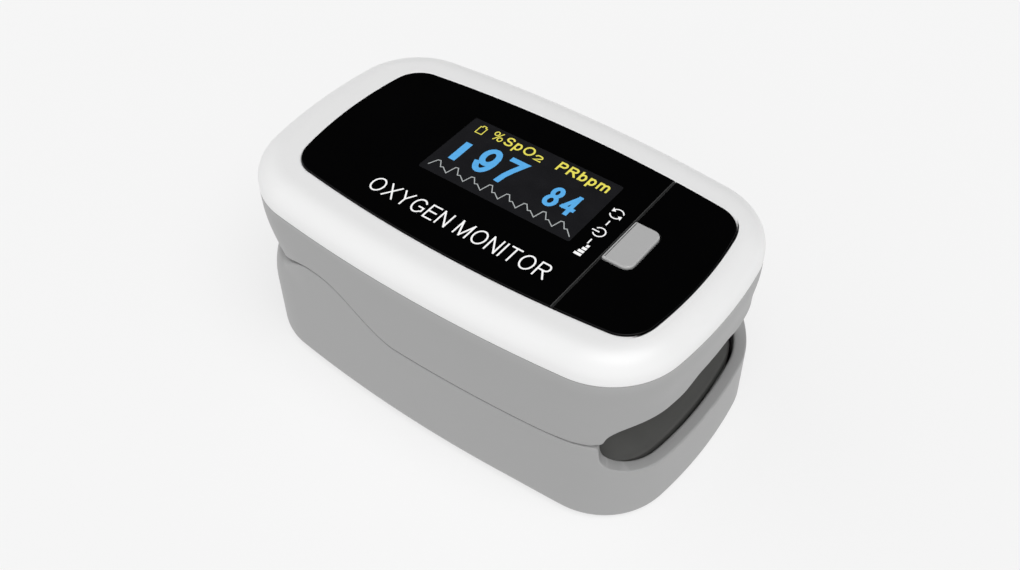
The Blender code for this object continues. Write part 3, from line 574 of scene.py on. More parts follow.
GREY = material("grey_plastic", (0.355, 0.355, 0.355), 0.42)
WHITE = material("white_plastic", (0.88, 0.88, 0.88), 0.32, mottle=0.012, wear=0.02, depth=0.0015)
BLACK_GLOSS = material("black_gloss", (0.0010, 0.0010, 0.0011), 0.09, mottle=0.25, depth=0.0002, wear=0.0,
                       specular=0.2)
# Seam edge faces: rougher like cut acrylic, and lighter in colour as a painted highlight.
CUT_EDGE_HIGHLIGHT = material("acrylic_cut_edge_painted_highlight", (0.06, 0.06, 0.06), 0.4, depth=0.002, wear=0.02)
KEY_GREY = material("key_plastic", (0.46, 0.46, 0.46), 0.45, mottle=0.02, wear=0.1, depth=0.002)
RUBBER = material("pad_rubber", (0.080, 0.080, 0.076), 0.62, grain=0.3, depth=0.006, mottle=0.14, patch=3.0)
FRAME_GREY = material("frame_plastic", (0.34, 0.34, 0.34), 0.5, mottle=0.05, depth=0.004)
STEEL = material("spring_steel", (0.52, 0.53, 0.55), 0.26, 1.0, grain=0.08, depth=0.001, mottle=0.06,
                 patch=1.5)
SCREW = material("screw_steel", (0.48, 0.48, 0.49), 0.3, 1.0, grain=0.1, depth=0.002, mottle=0.08, patch=1.2)
NICKEL = material("contact_nickel", (0.66, 0.62, 0.55), 0.28, 1.0, grain=0.2, depth=0.001, mottle=0.05,
                  patch=2.0)
BOARD = material("circuit_board", (0.018, 0.12, 0.05), 0.35, grain=0.4, depth=0.004, mottle=0.15, patch=2.5)
CHIP = material("chip_black", (0.02, 0.02, 0.022), 0.5, grain=0.1, depth=0.004, mottle=0.1)
AMBER = material("flex_amber", (0.42, 0.18, 0.035), 0.3, grain=0.5, depth=0.002, mottle=0.12, patch=2.0)
GLASS_DARK = material("display_glass", (0.012, 0.013, 0.017), 0.08, depth=0.0002, mottle=0.1)
POLISHED = {"depth": 0.0003, "mottle": 0.15, "patch": 2.0, "coat": 0.6}
LENS = material("sensor_lens", (0.10, 0.012, 0.012), 0.1, **POLISHED)
LENS_CLEAR = material("photodiode_lens", (0.035, 0.036, 0.045), 0.1, **POLISHED)
LED = material("emitter_red", (0.5, 0.04, 0.03), 0.25, mottle=0.08, patch=0.8)
CELL_BLUE = material("cell_wrap", (0.05, 0.13, 0.30), 0.3, grain=0.3, depth=0.001, mottle=0.08, patch=5.0)
# White print ink with a painted glow: it gives off light of its own, though it is no lamp.
PRINT_PAINTED_GLOW = material("white_print_painted_glow", (0.86, 0.86, 0.86), 0.5, grain=0.08, depth=0.001, mottle=0.04, patch=1.5,
                 glow=0.25)
SCREEN = material("screen_field", (0.011, 0.011, 0.0125), 0.12, depth=0.0002, mottle=0.3, patch=2.0,
                  specular=0.3, glow=0.12)
LIT = {"grain": 0.17, "depth": 0.0, "patch": 0.5}
YELLOW = material("screen_yellow", (0.66, 0.60, 0.09), 0.3, mottle=0.10, glow=0.35, **LIT)
BLUE = material("screen_blue", (0.085, 0.34, 0.66), 0.3, mottle=0.16, glow=0.35, **LIT)
TRACE = material("screen_trace", (0.36, 0.38, 0.38), 0.3, mottle=0.2, glow=0.3, **LIT)
FLOOR_PAPER = material("floor_paper", (0.30, 0.30, 0.30), 0.9, grain=2.0, depth=0.01, mottle=0.004,
                       patch=60.0, wear=0.0, specular=0.0, glow=2.15)


# --- housing ---


def rounded(radius, steps):
    """(set back, moved inward) pairs from the land round to the wall."""
    pairs = []
    for i in range(steps + 1):
        angle = math.pi / 2 * i / steps
        pairs.append((radius * (1 - math.cos(angle)), radius * (1 - math.sin(angle))))
    return pairs


def wall(s, start, stop, shares, inset, pinch):
    """Rings of a wall at shares of the way between two heights."""
    return [ring(BODY, s, start + (stop - start) * t, inset, pinch) for t in shares]


def lip_share(s):
    """0 along the meeting line, 1 over the middle of the finger opening."""
    x, y, _, _ = BODY.at(s)
    return np.where(x > MOUTH_REAR_X, smooth((MOUTH_HALF_WIDTH - 0.3 - np.abs(y)) / 5.0), 0.0)


def lower_housing():
    edge = Edge(lower_edge, 1.0)
    s = edge.columns(COLUMNS)
    share = lip_share(s)
    rear = smooth((-18.0 - BODY.at(s)[0]) / 8.0)
    outer = EDGE_RADIUS + (LIP_RADIUS - EDGE_RADIUS) * share + (REAR_RADIUS - EDGE_RADIUS) * rear
    rings = [ring(BODY, s, FLOOR, WALL + 2.0), ring(BODY, s, FLOOR, WALL + 1.4)]
    rings += [ring(BODY, s, FLOOR + 0.35, WALL + 0.55), ring(BODY, s, FLOOR + 1.6, WALL)]
    inner = 0.25 + 0.1 * share
    inner_edge = edge.at(s, inner)
    shares = (0.15, 0.3, 0.45, 0.6, 0.7, 0.8, 0.88, 0.94, 1.0)
    rings += wall(s, FLOOR + 1.6, inner_edge, shares, WALL, lower_pinch)
    for back, inward in rounded(1.0, 4)[::-1][1:]:
        z = edge.at(s, back * inner)
        rings.append(ring(BODY, s, z, WALL - inward * inner, lower_pinch))
    for back, inward in rounded(1.0, 7):
        z = edge.at(s, back * outer)
        rings.append(ring(BODY, s, z, inward * outer, lower_pinch))
    outer_edge = edge.at(s, outer)
    wall_foot = bottom_ring(s, 90.0)[:, 2]
    shares = (0.04, 0.1, 0.17, 0.25, 0.34, 0.44, 0.56, 0.7, 0.85)
    rings += wall(s, outer_edge, wall_foot, shares, 0.0, lower_pinch)
    rings += [bottom_ring(s, 90.0 - 10.0 * i) for i in range(10)]
    rings.append(ring(BODY, s, 0.0, BOTTOM_ROUND + 0.4))
    shell = loop_mesh("lower_housing", rings)
    half = DOOR_HALF_WIDTH + 0.12
    front = DOOR_FRONT_X + 0.12
    cutters = [
        box_cutter((-32.0, -half, -1.0), (front, half, DOOR_THICKNESS + 0.3)),
        box_cutter((-26.8, -11.4, DOOR_THICKNESS), (front + 1.4, 11.4, FLOOR + 0.6)),
    ]
    counterbore = [(2.35, -0.5), (2.1, 0.25), (2.1, 1.2), (1.2, 1.21), (1.2, 4.0)]
    cutters += [turned("cutter", counterbore, (x, y, 0.0)) for x, y in LOWER_SCREWS]
    carve(shell, cutters)
    return piece(shade(shell), GREY, "lower_half", ["lower_shell"])


def upper_housing():
    edge = Edge(upper_edge, -1.0)
    s = edge.columns(COLUMNS)
    rings = [ring(BODY, s, SHELL_TOP, UPPER_WALL)]
    inner_edge = edge.at(s, 0.2)
    rings += wall(s, SHELL_TOP, inner_edge, (0.2, 0.4, 0.6, 0.75, 0.9, 1.0), UPPER_WALL, upper_pinch)
    for back, inward in rounded(0.2, 3)[::-1][1:]:
        z = edge.at(s, back)
        rings.append(ring(BODY, s, z, UPPER_WALL - inward, upper_pinch))
    radius = EDGE_RADIUS + 0.22 * lip_share(s)
    for back, inward in rounded(1.0, 5):
        z = edge.at(s, back * radius)
        rings.append(ring(BODY, s, z, inward * radius, upper_pinch))
    outer_edge = edge.at(s, radius)
    shares = (0.03, 0.08, 0.15, 0.23, 0.32, 0.42, 0.54, 0.68, 0.84, 1.0)
    rings += wall(s, outer_edge, SHELL_TOP, shares, 0.0, upper_pinch)
    shell = loop_mesh("upper_housing", rings, closed=True)
    return piece(shade(shell), GREY, "upper_half", ["upper_shell"])


def cover():
    s = np.arange(COLUMNS) * BODY.length / COLUMNS
    on_panel = PANEL.facing(BODY.angle_at(s))
    rings = [ring(BODY, s, COVER_BOTTOM, inset) for inset in (1.5, 0.25, 0.1)]
    rings += [ring(BODY, s, COVER_BOTTOM + 0.03, 0.03), ring(BODY, s, COVER_BOTTOM + 0.1, 0.0)]
    rings += [ring(BODY, s, COVER_BOTTOM + 0.35, 0.0)]
    width, power = 3.3, 2.15
    for i in range(17):
        angle = math.pi / 2 * i / 16
        rise = math.sin(angle) ** (2 / power)
        inward = width * (1 - math.cos(angle) ** (2 / power))
        rings.append(ring(BODY, s, COVER_SIDE_TOP + (COVER_TOP - COVER_SIDE_TOP) * rise, inward))
    rings.append(ring(BODY, s, COVER_TOP, width + 0.15))
    rings.append(ring(PANEL, on_panel, COVER_TOP, -0.32))
    rim, gap = 0.14, 0.08
    for back, inward in rounded(rim, 3)[::-1]:
        z = COVER_TOP - rim + rim * (1 - back / rim)
        rings.append(ring(PANEL, on_panel, z, -gap - rim + (rim - inward)))
    rings += [ring(PANEL, on_panel, POCKET_FLOOR, -gap), ring(PANEL, on_panel, POCKET_FLOOR, 1.0)]
    rings += [ring(PANEL, on_panel, POCKET_FLOOR - 0.8, 1.0)]
    rings += [ring(BODY, s, 25.7, 2.8), ring(BODY, s, 25.0, 1.7)]
    obj = loop_mesh("top_cover_shell", rings, closed=True)
    return piece(shade(obj), WHITE, "upper_half", ["top_cover"])


# --- face panel ---


def key_outline(grow):
    """The key's outline, square at the seam and rounded at its two far corners, anticlockwise."""
    left, right, half = KEY_LEFT - grow, KEY_RIGHT + grow, KEY_HALF + grow
    seam_corner = 0.25
    corners = (
        (left, -half, seam_corner, 180.0), (right, -half, KEY_CORNER, 270.0),
        (right, half, KEY_CORNER, 0.0), (left, half, seam_corner, 90.0),
    )
    points = []
    for x, y, r, start in corners:
        centre = (x + (r if x == left else -r), KEY_Y + y - math.copysign(r, y))
        points.append(arc(centre, r, start, start + 90.0, 8))
    return np.vstack(points)


def clip_plan(limit, side):
    """The panel's outline on the rear (-1) or front (1) side of a line across it, anticlockwise."""
    x, y, _, _ = PANEL.at(np.linspace(0, PANEL.length, 700, endpoint=False))
    points = np.column_stack((x, y))
    kept = (points[:, 0] - limit) * side > 0.3
    start = np.flatnonzero(kept & ~np.roll(kept, 1))[0]
    points = np.roll(points, -start, 0)[: kept.sum()]
    return np.vstack(((limit, points[0, 1]), points, (limit, points[-1, 1])))


def key_notch(grow):
    """The fascia's notch round the key, from its far end of the seam to its near end."""
    half, right, radius = KEY_HALF + grow, KEY_RIGHT + grow, KEY_CORNER + grow
    far = arc((right - radius, KEY_Y + half - radius), radius, 90.0, 0.0, 8)
    near = arc((right - radius, KEY_Y - half + radius), radius, 0.0, -90.0, 8)
    return np.vstack(((FASCIA_LEFT, KEY_Y + half), far, near, (FASCIA_LEFT, KEY_Y - half)))


def show_cut_edge_highlight(plate_object, seam_x):
    """Gives the faces along the seam a rougher cut finish and a lighter colour, which is a painted highlight.
    """
    plate_object.data.materials.append(CUT_EDGE_HIGHLIGHT)
    for face in plate_object.data.polygons:
        centre = face.center / MM
        if abs(centre.x - seam_x) < 0.09 and centre.z < PANEL_TOP - 0.001:
            face.material_index = 1


def face_panel():
    window = plate("face_window", clip_plan(WINDOW_RIGHT, -1), PANEL_BOTTOM, PANEL_TOP, PANEL_EDGE)
    piece(shade(window), BLACK_GLOSS, "upper_half", ["display_window"])
    show_cut_edge_highlight(window, WINDOW_RIGHT)
    outline = np.vstack((clip_plan(FASCIA_LEFT, 1), key_notch(KEY_GAP)))
    fascia = plate("key_surround", outline, PANEL_BOTTOM, PANEL_TOP, PANEL_EDGE)
    piece(shade(fascia), BLACK_GLOSS, "upper_half", ["button_fascia"])
    show_cut_edge_highlight(fascia, FASCIA_LEFT)


def key():
    obj = plate("power_key", key_outline(-0.02), 25.1, KEY_TOP, 0.22, 6)
    return piece(shade(obj, 40), KEY_GREY, "power_button", ["power_button"])


# --- printing and screen ---


def polyline(points, width):
    """Quads of a stroke with sharp bends, each bend mitred."""
    points = np.asarray(points, float)
    steps = np.diff(points, axis=0)
    units = steps / np.linalg.norm(steps, axis=1)[:, None]
    normals = np.column_stack((-units[:, 1], units[:, 0]))
    sides = [normals[0]]
    for a, b in zip(normals, normals[1:]):
        sides.append((a + b) / max(1 + a @ b, 0.35))
    sides.append(normals[-1])
    offsets = np.array(sides) * (width / 2)
    near, far = points - offsets, points + offsets
    return [[near[i], near[i + 1], far[i + 1], far[i]] for i in range(len(points) - 1)]


def arc(centre, radius, start, stop, steps=24):
    angles = np.radians(np.linspace(start, stop, steps + 1))
    return np.column_stack((centre[0] + radius * np.cos(angles), centre[1] + radius * np.sin(angles)))


def rectangle(x0, y0, x1, y1):
    return [np.array(p, float) for p in ((x0, y0), (x1, y0), (x1, y1), (x0, y1))]


def rounded_rectangle(x0, y0, x1, y1, radius):
    left, right, near, far = x0 + radius, x1 - radius, y0 + radius, y1 - radius
    spots = ((right, far, 0), (left, far, 90), (left, near, 180), (right, near, 270))
    return np.vstack([arc((x, y), radius, start, start + 90, 6) for x, y, start in spots])


def flat_print(name, shapes, low, high, mat):
    """Thin raised printing from convex flat shapes, at 32 heights in turn so that none coincide."""
    verts, faces = [], []
    for index, shape in enumerate(shapes):
        start = len(verts)
        count = len(shape)
        top = high + 0.0004 * (index % 32)
        verts += [(p[0], p[1], low) for p in shape] + [(p[0], p[1], top) for p in shape]
        faces.append(tuple(range(start + count - 1, start - 1, -1)))
        faces.append(tuple(range(start + count, start + 2 * count)))
        for i in range(count):
            j = (i + 1) % count
            faces.append((start + i, start + j, start + count + j, start + count + i))
    obj = add_mesh(name, verts, faces)
    return piece(obj, mat, "upper_half")


def bow(x, y, rx, ry, start=0, stop=360):
    """Points on an ellipse, for the curved strokes of letters."""
    angles = np.radians(np.linspace(start, stop, 21))
    return list(zip(x + rx * np.cos(angles), y + ry * np.sin(angles)))


# Letters as centre lines in a unit box, with their width in capital heights.
GLYPHS = {
    " ": (0.22, []),
    "O": (0.98, [bow(0.5, 0.5, 0.5, 0.5)]),
    "X": (0.88, [[(0, 0), (1, 1)], [(0, 1), (1, 0)]]),
    "Y": (0.86, [[(0, 1), (0.5, 0.45), (1, 1)], [(0.5, 0.5), (0.5, 0)]]),
    "G": (0.95, [bow(0.5, 0.5, 0.5, 0.5, 42, 318) + [(0.98, 0.2), (0.98, 0.46), (0.58, 0.46)]]),
    "E": (0.74, [[(1, 1), (0, 1), (0, 0), (1, 0)], [(0, 0.52), (0.92, 0.52)]]),
    "N": (0.80, [[(0, 0), (0, 1)], [(0, 1), (1, 0)], [(1, 0), (1, 1)]]),
    "M": (0.97, [[(0, 0), (0, 1)], [(0, 1), (0.5, 0)], [(0.5, 0), (1, 1)], [(1, 1), (1, 0)]]),
    "I": (0.14, [[(0.5, 0), (0.5, 1)]]),
    "T": (0.80, [[(0, 1), (1, 1)], [(0.5, 1), (0.5, 0)]]),
    "R": (0.84, [[(0, 0), (0, 1)] + bow(0.6, 0.755, 0.34, 0.245, 90, -90) + [(0, 0.51)],
                 [(0.5, 0.5), (1, 0)]]),
    "P": (0.76, [[(0, 0), (0, 1)] + bow(0.6, 0.735, 0.4, 0.265, 90, -90) + [(0, 0.47)]]),
    "S": (0.78, [bow(0.5, 0.75, 0.45, 0.25, 25, 270) + bow(0.5, 0.25, 0.5, 0.25, 90, -155)[1:]]),
    "p": (0.66, [[(0, -0.3), (0, 0.74)], bow(0.5, 0.37, 0.5, 0.37)]),
    "b": (0.66, [[(0, 0), (0, 1)], bow(0.5, 0.37, 0.5, 0.37)]),
    "m": (1.00, [[(0, 0), (0, 0.74)], bow(0.25, 0.5, 0.25, 0.24, 180, 0) + [(0.5, 0)],
                 bow(0.75, 0.5, 0.25, 0.24, 180, 0) + [(1, 0)]]),
    "2": (0.66, [bow(0.48, 0.7, 0.47, 0.3, 165, -38) + [(0, 0), (1, 0)]]),
    "%": (1.05, [bow(0.2, 0.76, 0.2, 0.24), bow(0.8, 0.24, 0.2, 0.24),
                 [(0.28, 0), (0.72, 1)]]),
    "9": (0.70, [bow(0.48, 0.67, 0.48, 0.33), bow(0.46, 0.5, 0.54, 0.5, 25, -152)]),
    "7": (0.68, [[(0, 1), (1, 1), (0.62, 0.58), (0.4, 0.27), (0.32, 0)]]),
    "8": (0.70, [bow(0.5, 0.76, 0.42, 0.24), bow(0.5, 0.26, 0.5, 0.26)]),
    "4": (0.74, [[(0.72, 0), (0.72, 1)], [(0.72, 1), (0, 0.28)], [(0, 0.28), (1, 0.28)]]),
}


def trim(shape, low, high):
    """A convex shape cut off below and above two heights."""
    for limit, sign in ((low, 1), (high, -1)):
        kept = []
        for a, b in zip(shape, shape[1:] + shape[:1]):
            inside_a, inside_b = (a[1] - limit) * sign >= 0, (b[1] - limit) * sign >= 0
            if inside_a:
                kept.append(a)
            if inside_a != inside_b:
                kept.append(a + (b - a) * (limit - a[1]) / (b[1] - a[1]))
        shape = kept
    return shape


def word(text, x0, x1, baseline, height, weight, gap=0.2):
    """Shapes of a word in a plain upright face, fitted between two x values."""
    total = sum(GLYPHS[letter][0] + gap for letter in text) - gap
    scale = (x1 - x0) / total
    shapes = []
    for letter in text:
        width, strokes = GLYPHS[letter]
        for points in strokes:
            flat = np.array(points, float)
            flat[:, 0] = x0 + weight / 2 + flat[:, 0] * max(width * scale - weight, 0.0)
            flat[:, 1] = baseline + weight / 2 + flat[:, 1] * (height - weight)
            for end, beside in ((0, 1), (-1, -2)):
                away = flat[end] - flat[beside]
                flat[end] = flat[end] + away / np.linalg.norm(away) * weight / 2
            foot = baseline - (height if flat[:, 1].min() < baseline - weight else 0.0)
            shapes += [trim(shape, foot, baseline + height) for shape in polyline(flat, weight)]
        x0 += (width + gap) * scale
    return [shape for shape in shapes if len(shape) > 2]


PRINT_LOW = PANEL_TOP + 0.002
PRINT_HIGH = PANEL_TOP + 0.012
SCREEN_LOW = PANEL_TOP + 0.012


def panel_printing():
    wording = word("OXYGEN MONITOR", -12.6, 12.7, -9.75, 2.35, 0.205)
    flat_print("panel_wording", wording, PRINT_LOW, PRINT_HIGH, PRINT_PAINTED_GLOW)
    x = 13.4
    shapes = []
    # Turning arrows.
    centre = np.array((x, 3.6))
    for start in (200.0, 20.0):
        shapes += polyline(arc(centre, 0.78, start, start + 125.0), 0.15)
        tip, base = arc((0.0, 0.0), 1.0, start + 118.0, start + 152.0, 1)[::-1]
        shapes.append([centre + 0.78 * tip, centre + 0.42 * base, centre + 1.14 * base])
    # Links between the symbols.
    shapes.append(rectangle(x - 0.08, 1.35, x + 0.08, 2.2))
    shapes.append(rectangle(x - 0.08, -2.25, x + 0.08, -1.4))
    # Power sign, its stem towards the rear.
    shapes += polyline(arc((x + 0.05, 0.0), 0.72, -145.0, 145.0, 32), 0.15)
    shapes.append(rectangle(x - 0.9, -0.085, x + 0.05, 0.085))
    # Rising level bars.
    for i in range(4):
        y = -4.4 + 0.53 * i
        length = 0.95 - 0.19 * i
        shapes.append(rectangle(x + 0.5 - length, y, x + 0.5, y + 0.38))
    flat_print("panel_symbols", shapes, PRINT_LOW, PRINT_HIGH, PRINT_PAINTED_GLOW)


def screen():
    (x0, x1), (y0, y1) = SCREEN_X, SCREEN_Y
    outline = rounded_rectangle(x0, y0, x1, y1, SCREEN_CORNER)
    field = plate("screen_field", outline, PANEL_TOP + 0.001, SCREEN_LOW, 0.004, 2)
    piece(field, SCREEN, "upper_half")
    low = SCREEN_LOW + 0.002
    high = low + 0.01
    units = word("%", -6.5, -4.9, 5.75, 1.6, 0.15) + word("SpO", -4.6, -0.3, 5.75, 1.6, 0.24)
    units += word("2", 0.0, 1.15, 5.6, 1.1, 0.2)
    units += word("PRbpm", 3.2, 10.45, 5.75, 1.6, 0.27)
    units += polyline([(-8.6, 5.6), (-7.65, 5.6), (-7.65, 6.85), (-7.9, 6.85), (-7.9, 7.1), (-8.35, 7.1),
                       (-8.35, 6.85), (-8.6, 6.85), (-8.6, 5.54)], 0.12)
    flat_print("screen_units", units, low, high, YELLOW)
    values = word("97", -5.3, 0.55, -0.1, 4.65, 0.76) + word("84", 5.1, 9.3, -0.05, 3.6, 0.56)
    values.append(rectangle(-8.2, -0.1, -7.25, 3.5))
    flat_print("screen_values", values, low, high, BLUE)
    trace = [(-9.4, -2.35)]
    for i in range(8):
        x = -8.6 + 2.55 * i
        rise = (0.0, 0.15, -0.05, 0.1, 0.0, -0.1, 0.1, 0.0)[i]
        beat = ((-0.25, -1.1 + rise), (0.1, -1.0 + rise), (0.75, -1.9), (1.05, -1.75), (1.95, -2.4))
        trace += [(x + along, y) for along, y in beat]
    trace = trace[:-1] + [(11.2, -2.6)]
    flat_print("screen_pulse_trace", polyline(trace, 0.12), low, high, TRACE)


# --- finger pads ---


def front_x(y, inset):
    """Where the body's front, moved inward, crosses given y values."""
    s = np.linspace(-BODY.length / 4, BODY.length / 4, 4001)
    x, py, nx, ny = BODY.at(s)
    return np.interp(y, py - ny * inset, x - nx * inset)


def slope_at(x, y):
    return smooth((x - PAD_SLOPE_X) / (front_x(y, 2.0) - PAD_SLOPE_X))


def lower_pad_top(x, y):
    trough = 13.2 + 1.2 * smooth(np.abs(y) / 6.0) + 0.011 * np.maximum(np.abs(y) - 6.0, 0.0) ** 2
    return trough + (lip_z(y) - PAD_EDGE_DROP - trough) * slope_at(x, y)


def upper_pad_bottom(x, y):
    arch = 19.6 - 0.010 * y**2
    return arch + (arch_z(y) + PAD_EDGE_DROP - arch) * slope_at(x, y)


def window_rim(x, y, half_x, half_y):
    """1 on a narrow raised rim round the sensor window, 0 elsewhere."""
    outside = np.maximum(np.abs(x - SENSOR_X) - half_x, np.abs(y) - half_y)
    return np.exp(-(((outside - 0.8) / 0.4) ** 2))


def pad_grid(front):
    """Spots over a pad, closer together near its edges, with its front edge given for each row."""
    y = row_positions()
    t = np.linspace(0, 1, PAD_COLUMNS)
    t = 0.5 * t + 0.5 * np.sin(t * math.pi / 2)
    x = PAD_REAR_X + (front - PAD_REAR_X)[:, None] * t[None, :]
    return x, np.broadcast_to(y[:, None], x.shape)


def row_positions():
    v = np.linspace(-1, 1, PAD_ROWS)
    return PAD_HALF_WIDTH * np.sin(v * math.pi / 2 * 0.93) / math.sin(math.pi / 2 * 0.93)


def pad(name, surface, sign, half_y, inset, body, node):
    """A rubber pad with rolled edges and a rim round its window; sign is the side that faces the finger."""
    front = front_x(row_positions(), inset)
    x, y = pad_grid(front)
    edge = np.minimum(np.minimum(front[:, None] - x, x - PAD_REAR_X), PAD_HALF_WIDTH - np.abs(y))
    roll = 0.45 - np.sqrt(np.maximum(0.45**2 - np.maximum(0.45 - edge, 0.0) ** 2, 0.0))
    face = surface(x, y) - sign * roll + sign * 0.22 * window_rim(x, y, SENSOR_HALF_X, half_y)
    back = surface(x, y) - sign * (PAD_THICKNESS - 0.25 * roll)
    obj = sheet_mesh(name, np.stack((x, y, face), 2), np.stack((x, y, back), 2))
    carve(obj, [plate("cutter", window_outline(SENSOR_HALF_X, half_y), 8.0, 26.0, 0.2)])
    return piece(shade(obj), RUBBER, body, [node])


def window_outline(half_x, half_y):
    return rounded_rectangle(SENSOR_X - half_x, -half_y, SENSOR_X + half_x, half_y, 0.5)


def lenses():
    obj = plate("photodiode_lens", window_outline(LENS_HALF_X, 2.2), 12.1, 13.0, 0.3, 5)
    piece(shade(obj), LENS_CLEAR, "lower_half", ["sensor_window"])
    upper = plate("emitter_lens", window_outline(LENS_HALF_X, 2.7), -20.7, -19.75, 0.3, 5)
    upper.data.transform(Matrix.Diagonal((1.0, 1.0, -1.0, 1.0)))
    upper.data.flip_normals()
    piece(shade(upper), LENS, "upper_half", ["emitter_window"])


# --- underside ---


def door():
    s = np.arange(360) * BODY.length / 360
    rings = [ring(BODY, s, 0.0, BOTTOM_ROUND + 0.4)]
    rings += [bottom_ring(s, 7.5 * i) for i in range(7)]
    rest = BOTTOM_ROUND - math.sqrt(BOTTOM_ROUND**2 - (BOTTOM_ROUND - DOOR_THICKNESS) ** 2)
    rings.append(ring(BODY, s, DOOR_THICKNESS, rest))
    obj = loop_mesh("sliding_door", rings)
    half = DOOR_HALF_WIDTH
    outline = np.array([(-32.0, -half), (DOOR_FRONT_X, -half), (DOOR_FRONT_X, half), (-32.0, half)])
    blank = plate("cutter", outline, -2.0, 3.0, 0.1)
    carve(obj, [blank], "INTERSECT")
    grooves = []
    for i in range(5):
        x = -23.5 + 1.7 * i
        profile = [(0.02, -5.0), (0.4, -4.6), (0.45, -4.2), (0.45, 4.2), (0.4, 4.6), (0.02, 5.0)]
        groove = turned("cutter", profile, (0.0, 0.0, 0.0), "Z", 20)
        groove.data.transform(Matrix.Translation((x * MM, 0.0, 0.0)) @ Matrix.Rotation(math.pi / 2, 4, "X"))
        grooves.append(groove)
    arrow = np.array([(-13.2, 0.0), (-10.6, -2.2), (-10.6, 2.2)])
    grooves.append(plate("cutter", arrow, -1.0, 0.28, 0.08))
    carve(obj, grooves)
    return piece(shade(obj), GREY, "battery_door", ["battery_door"])


def screw(name, x, y, z, radius, height, shank, length, body, node):
    """A pan-head screw with a cross recess, pointing up from the underside of its head."""
    head = ((0.0, 0.0), (0.6, 0.02), (0.86, 0.12), (1.0, 0.42), (1.0, height))
    profile = [(radius * share, z + rise) for share, rise in head]
    profile += [(shank, z + height)]
    turns = 8
    for i in range(turns):
        low = z + height + 0.3 + (length - height - 1.0) * i / turns
        pitch = (length - height - 1.0) / turns
        profile += [(shank, low + 0.1 * pitch), (shank * 0.78, low + 0.5 * pitch), (shank, low + 0.9 * pitch)]
    profile += [(shank * 0.6, z + length), (0.0, z + length)]
    obj = turned(name, profile, (x, y, 0.0), "Z", 40)
    arm, half = radius * 0.62, radius * 0.13
    cross = [box_cutter((x - arm, y - half, z - 1.0), (x + arm, y + half, z + 0.45)),
             box_cutter((x - half, y - arm, z - 1.0), (x + half, y + arm, z + 0.45))]
    carve(obj, cross)
    return piece(shade(obj), SCREW, body, [node])


def cell(name, y, sign, base_x, node):
    """A AAA cell: steel ends, a wrap round the side, and the raised nub."""
    profile = [(0.0, 0.0), (3.9, 0.0), (4.0, 0.08), (4.6, 0.08), (4.85, 0.12), (5.02, 0.3)]
    profile += [(CELL_RADIUS, 0.6), (CELL_RADIUS, 42.7), (5.0, 43.05), (4.6, 43.2), (2.7, 43.2)]
    profile += [(2.5, 43.3), (2.5, 43.9), (2.3, 44.1), (0.0, 44.1)]
    obj = turned(name, profile, (base_x, y, CELL_Z), "X" if sign > 0 else "-X", 64)
    piece(shade(obj), CELL_BLUE, "lower_half", [node])
    obj.data.materials.append(NICKEL)
    for face in obj.data.polygons:
        radial = math.hypot(face.center.y / MM - y, face.center.z / MM - CELL_Z)
        face.material_index = 1 if radial < CELL_RADIUS - 0.2 else 0


def springs():
    for side, sign in (("left", 1), ("right", -1)):
        turns, per_turn, radius, pitch, start_y = 3.5, 32, 1.45, 0.62, 6.0
        count = int(turns * per_turn)
        angles = -math.pi / 2 + 2 * math.pi * np.arange(count + 1) / per_turn
        y = sign * (start_y + pitch * np.arange(count + 1) / per_turn)
        coil = np.column_stack((HINGE_X + radius * np.cos(angles), y, HINGE_Z + radius * np.sin(angles)))
        lower_leg = ((6.0, 13.7), (4.0, 13.75), (2.0, 13.85))
        upper_leg = ((1.2, 17.5), (3.0, 19.1), (4.6, 20.4))
        first = [(HINGE_X - behind, y[0], z) for behind, z in lower_leg]
        last = [(HINGE_X - behind, y[-1], z) for behind, z in upper_leg]
        obj = wire(f"hinge_spring_{side}", np.concatenate((first, coil, last)), 0.22)
        obj.data.materials.append(STEEL)
        shade(obj)
        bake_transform(obj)
        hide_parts(f"torsion_spring_{side}")


def catmull(points, per_span=8):
    """A smooth curve through points."""
    points = np.asarray(points, float)
    padded = np.vstack((2 * points[0] - points[1], points, 2 * points[-1] - points[-2]))
    out = []
    for i in range(len(points) - 1):
        a, b, c, d = padded[i : i + 4]
        for t in np.linspace(0, 1, per_span, endpoint=False):
            bend, twist = 2 * a - 5 * b + 4 * c - d, 3 * b - a - 3 * c + d
            out.append(0.5 * (2 * b + (c - a) * t + bend * t**2 + twist * t**3))
    return np.array(out + [points[-1]])


def flex_cable():
    path = catmull(RIBBON_PATH)
    along = np.gradient(path, axis=0)
    along /= np.linalg.norm(along, axis=1)[:, None]
    side = np.column_stack((-along[:, 1], along[:, 0])) * (RIBBON_THICKNESS / 2)
    y = np.linspace(-RIBBON_WIDTH / 2, RIBBON_WIDTH / 2, 9)
    grids = []
    for edge in (path + side, path - side):
        grid = np.empty((len(path), len(y), 3))
        grid[:, :, 0] = edge[:, :1]
        grid[:, :, 1] = y
        grid[:, :, 2] = edge[:, 1:]
        grids.append(grid)
    obj = sheet_mesh("sensor_ribbon", *grids)
    obj.data.materials.append(AMBER)
    shade(obj)
    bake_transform(obj)
    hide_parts("flex_cable")


def finish_nodes():
    """Detailed materials for the CAD nodes that stay as they are."""
    finishes = {
        "lower_inner_frame": FRAME_GREY, "upper_inner_frame": FRAME_GREY, "hinge_pin": STEEL,
        "tact_switch": NICKEL, "rear_bridge_contact": NICKEL, "front_positive_contact": NICKEL,
        "front_negative_contact": NICKEL, "rear_contact_coil": NICKEL, "front_contact_coil": NICKEL,
        "main_board": BOARD, "photodiode_board": BOARD, "microcontroller": CHIP, "photodiode": CHIP,
        "oled_display": GLASS_DARK, "led_emitter": LED, "display_flex": AMBER,
    }
    for name, finish in finishes.items():
        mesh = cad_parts[name].data
        mesh.materials.clear()
        mesh.materials.append(finish)


# --- setting ---


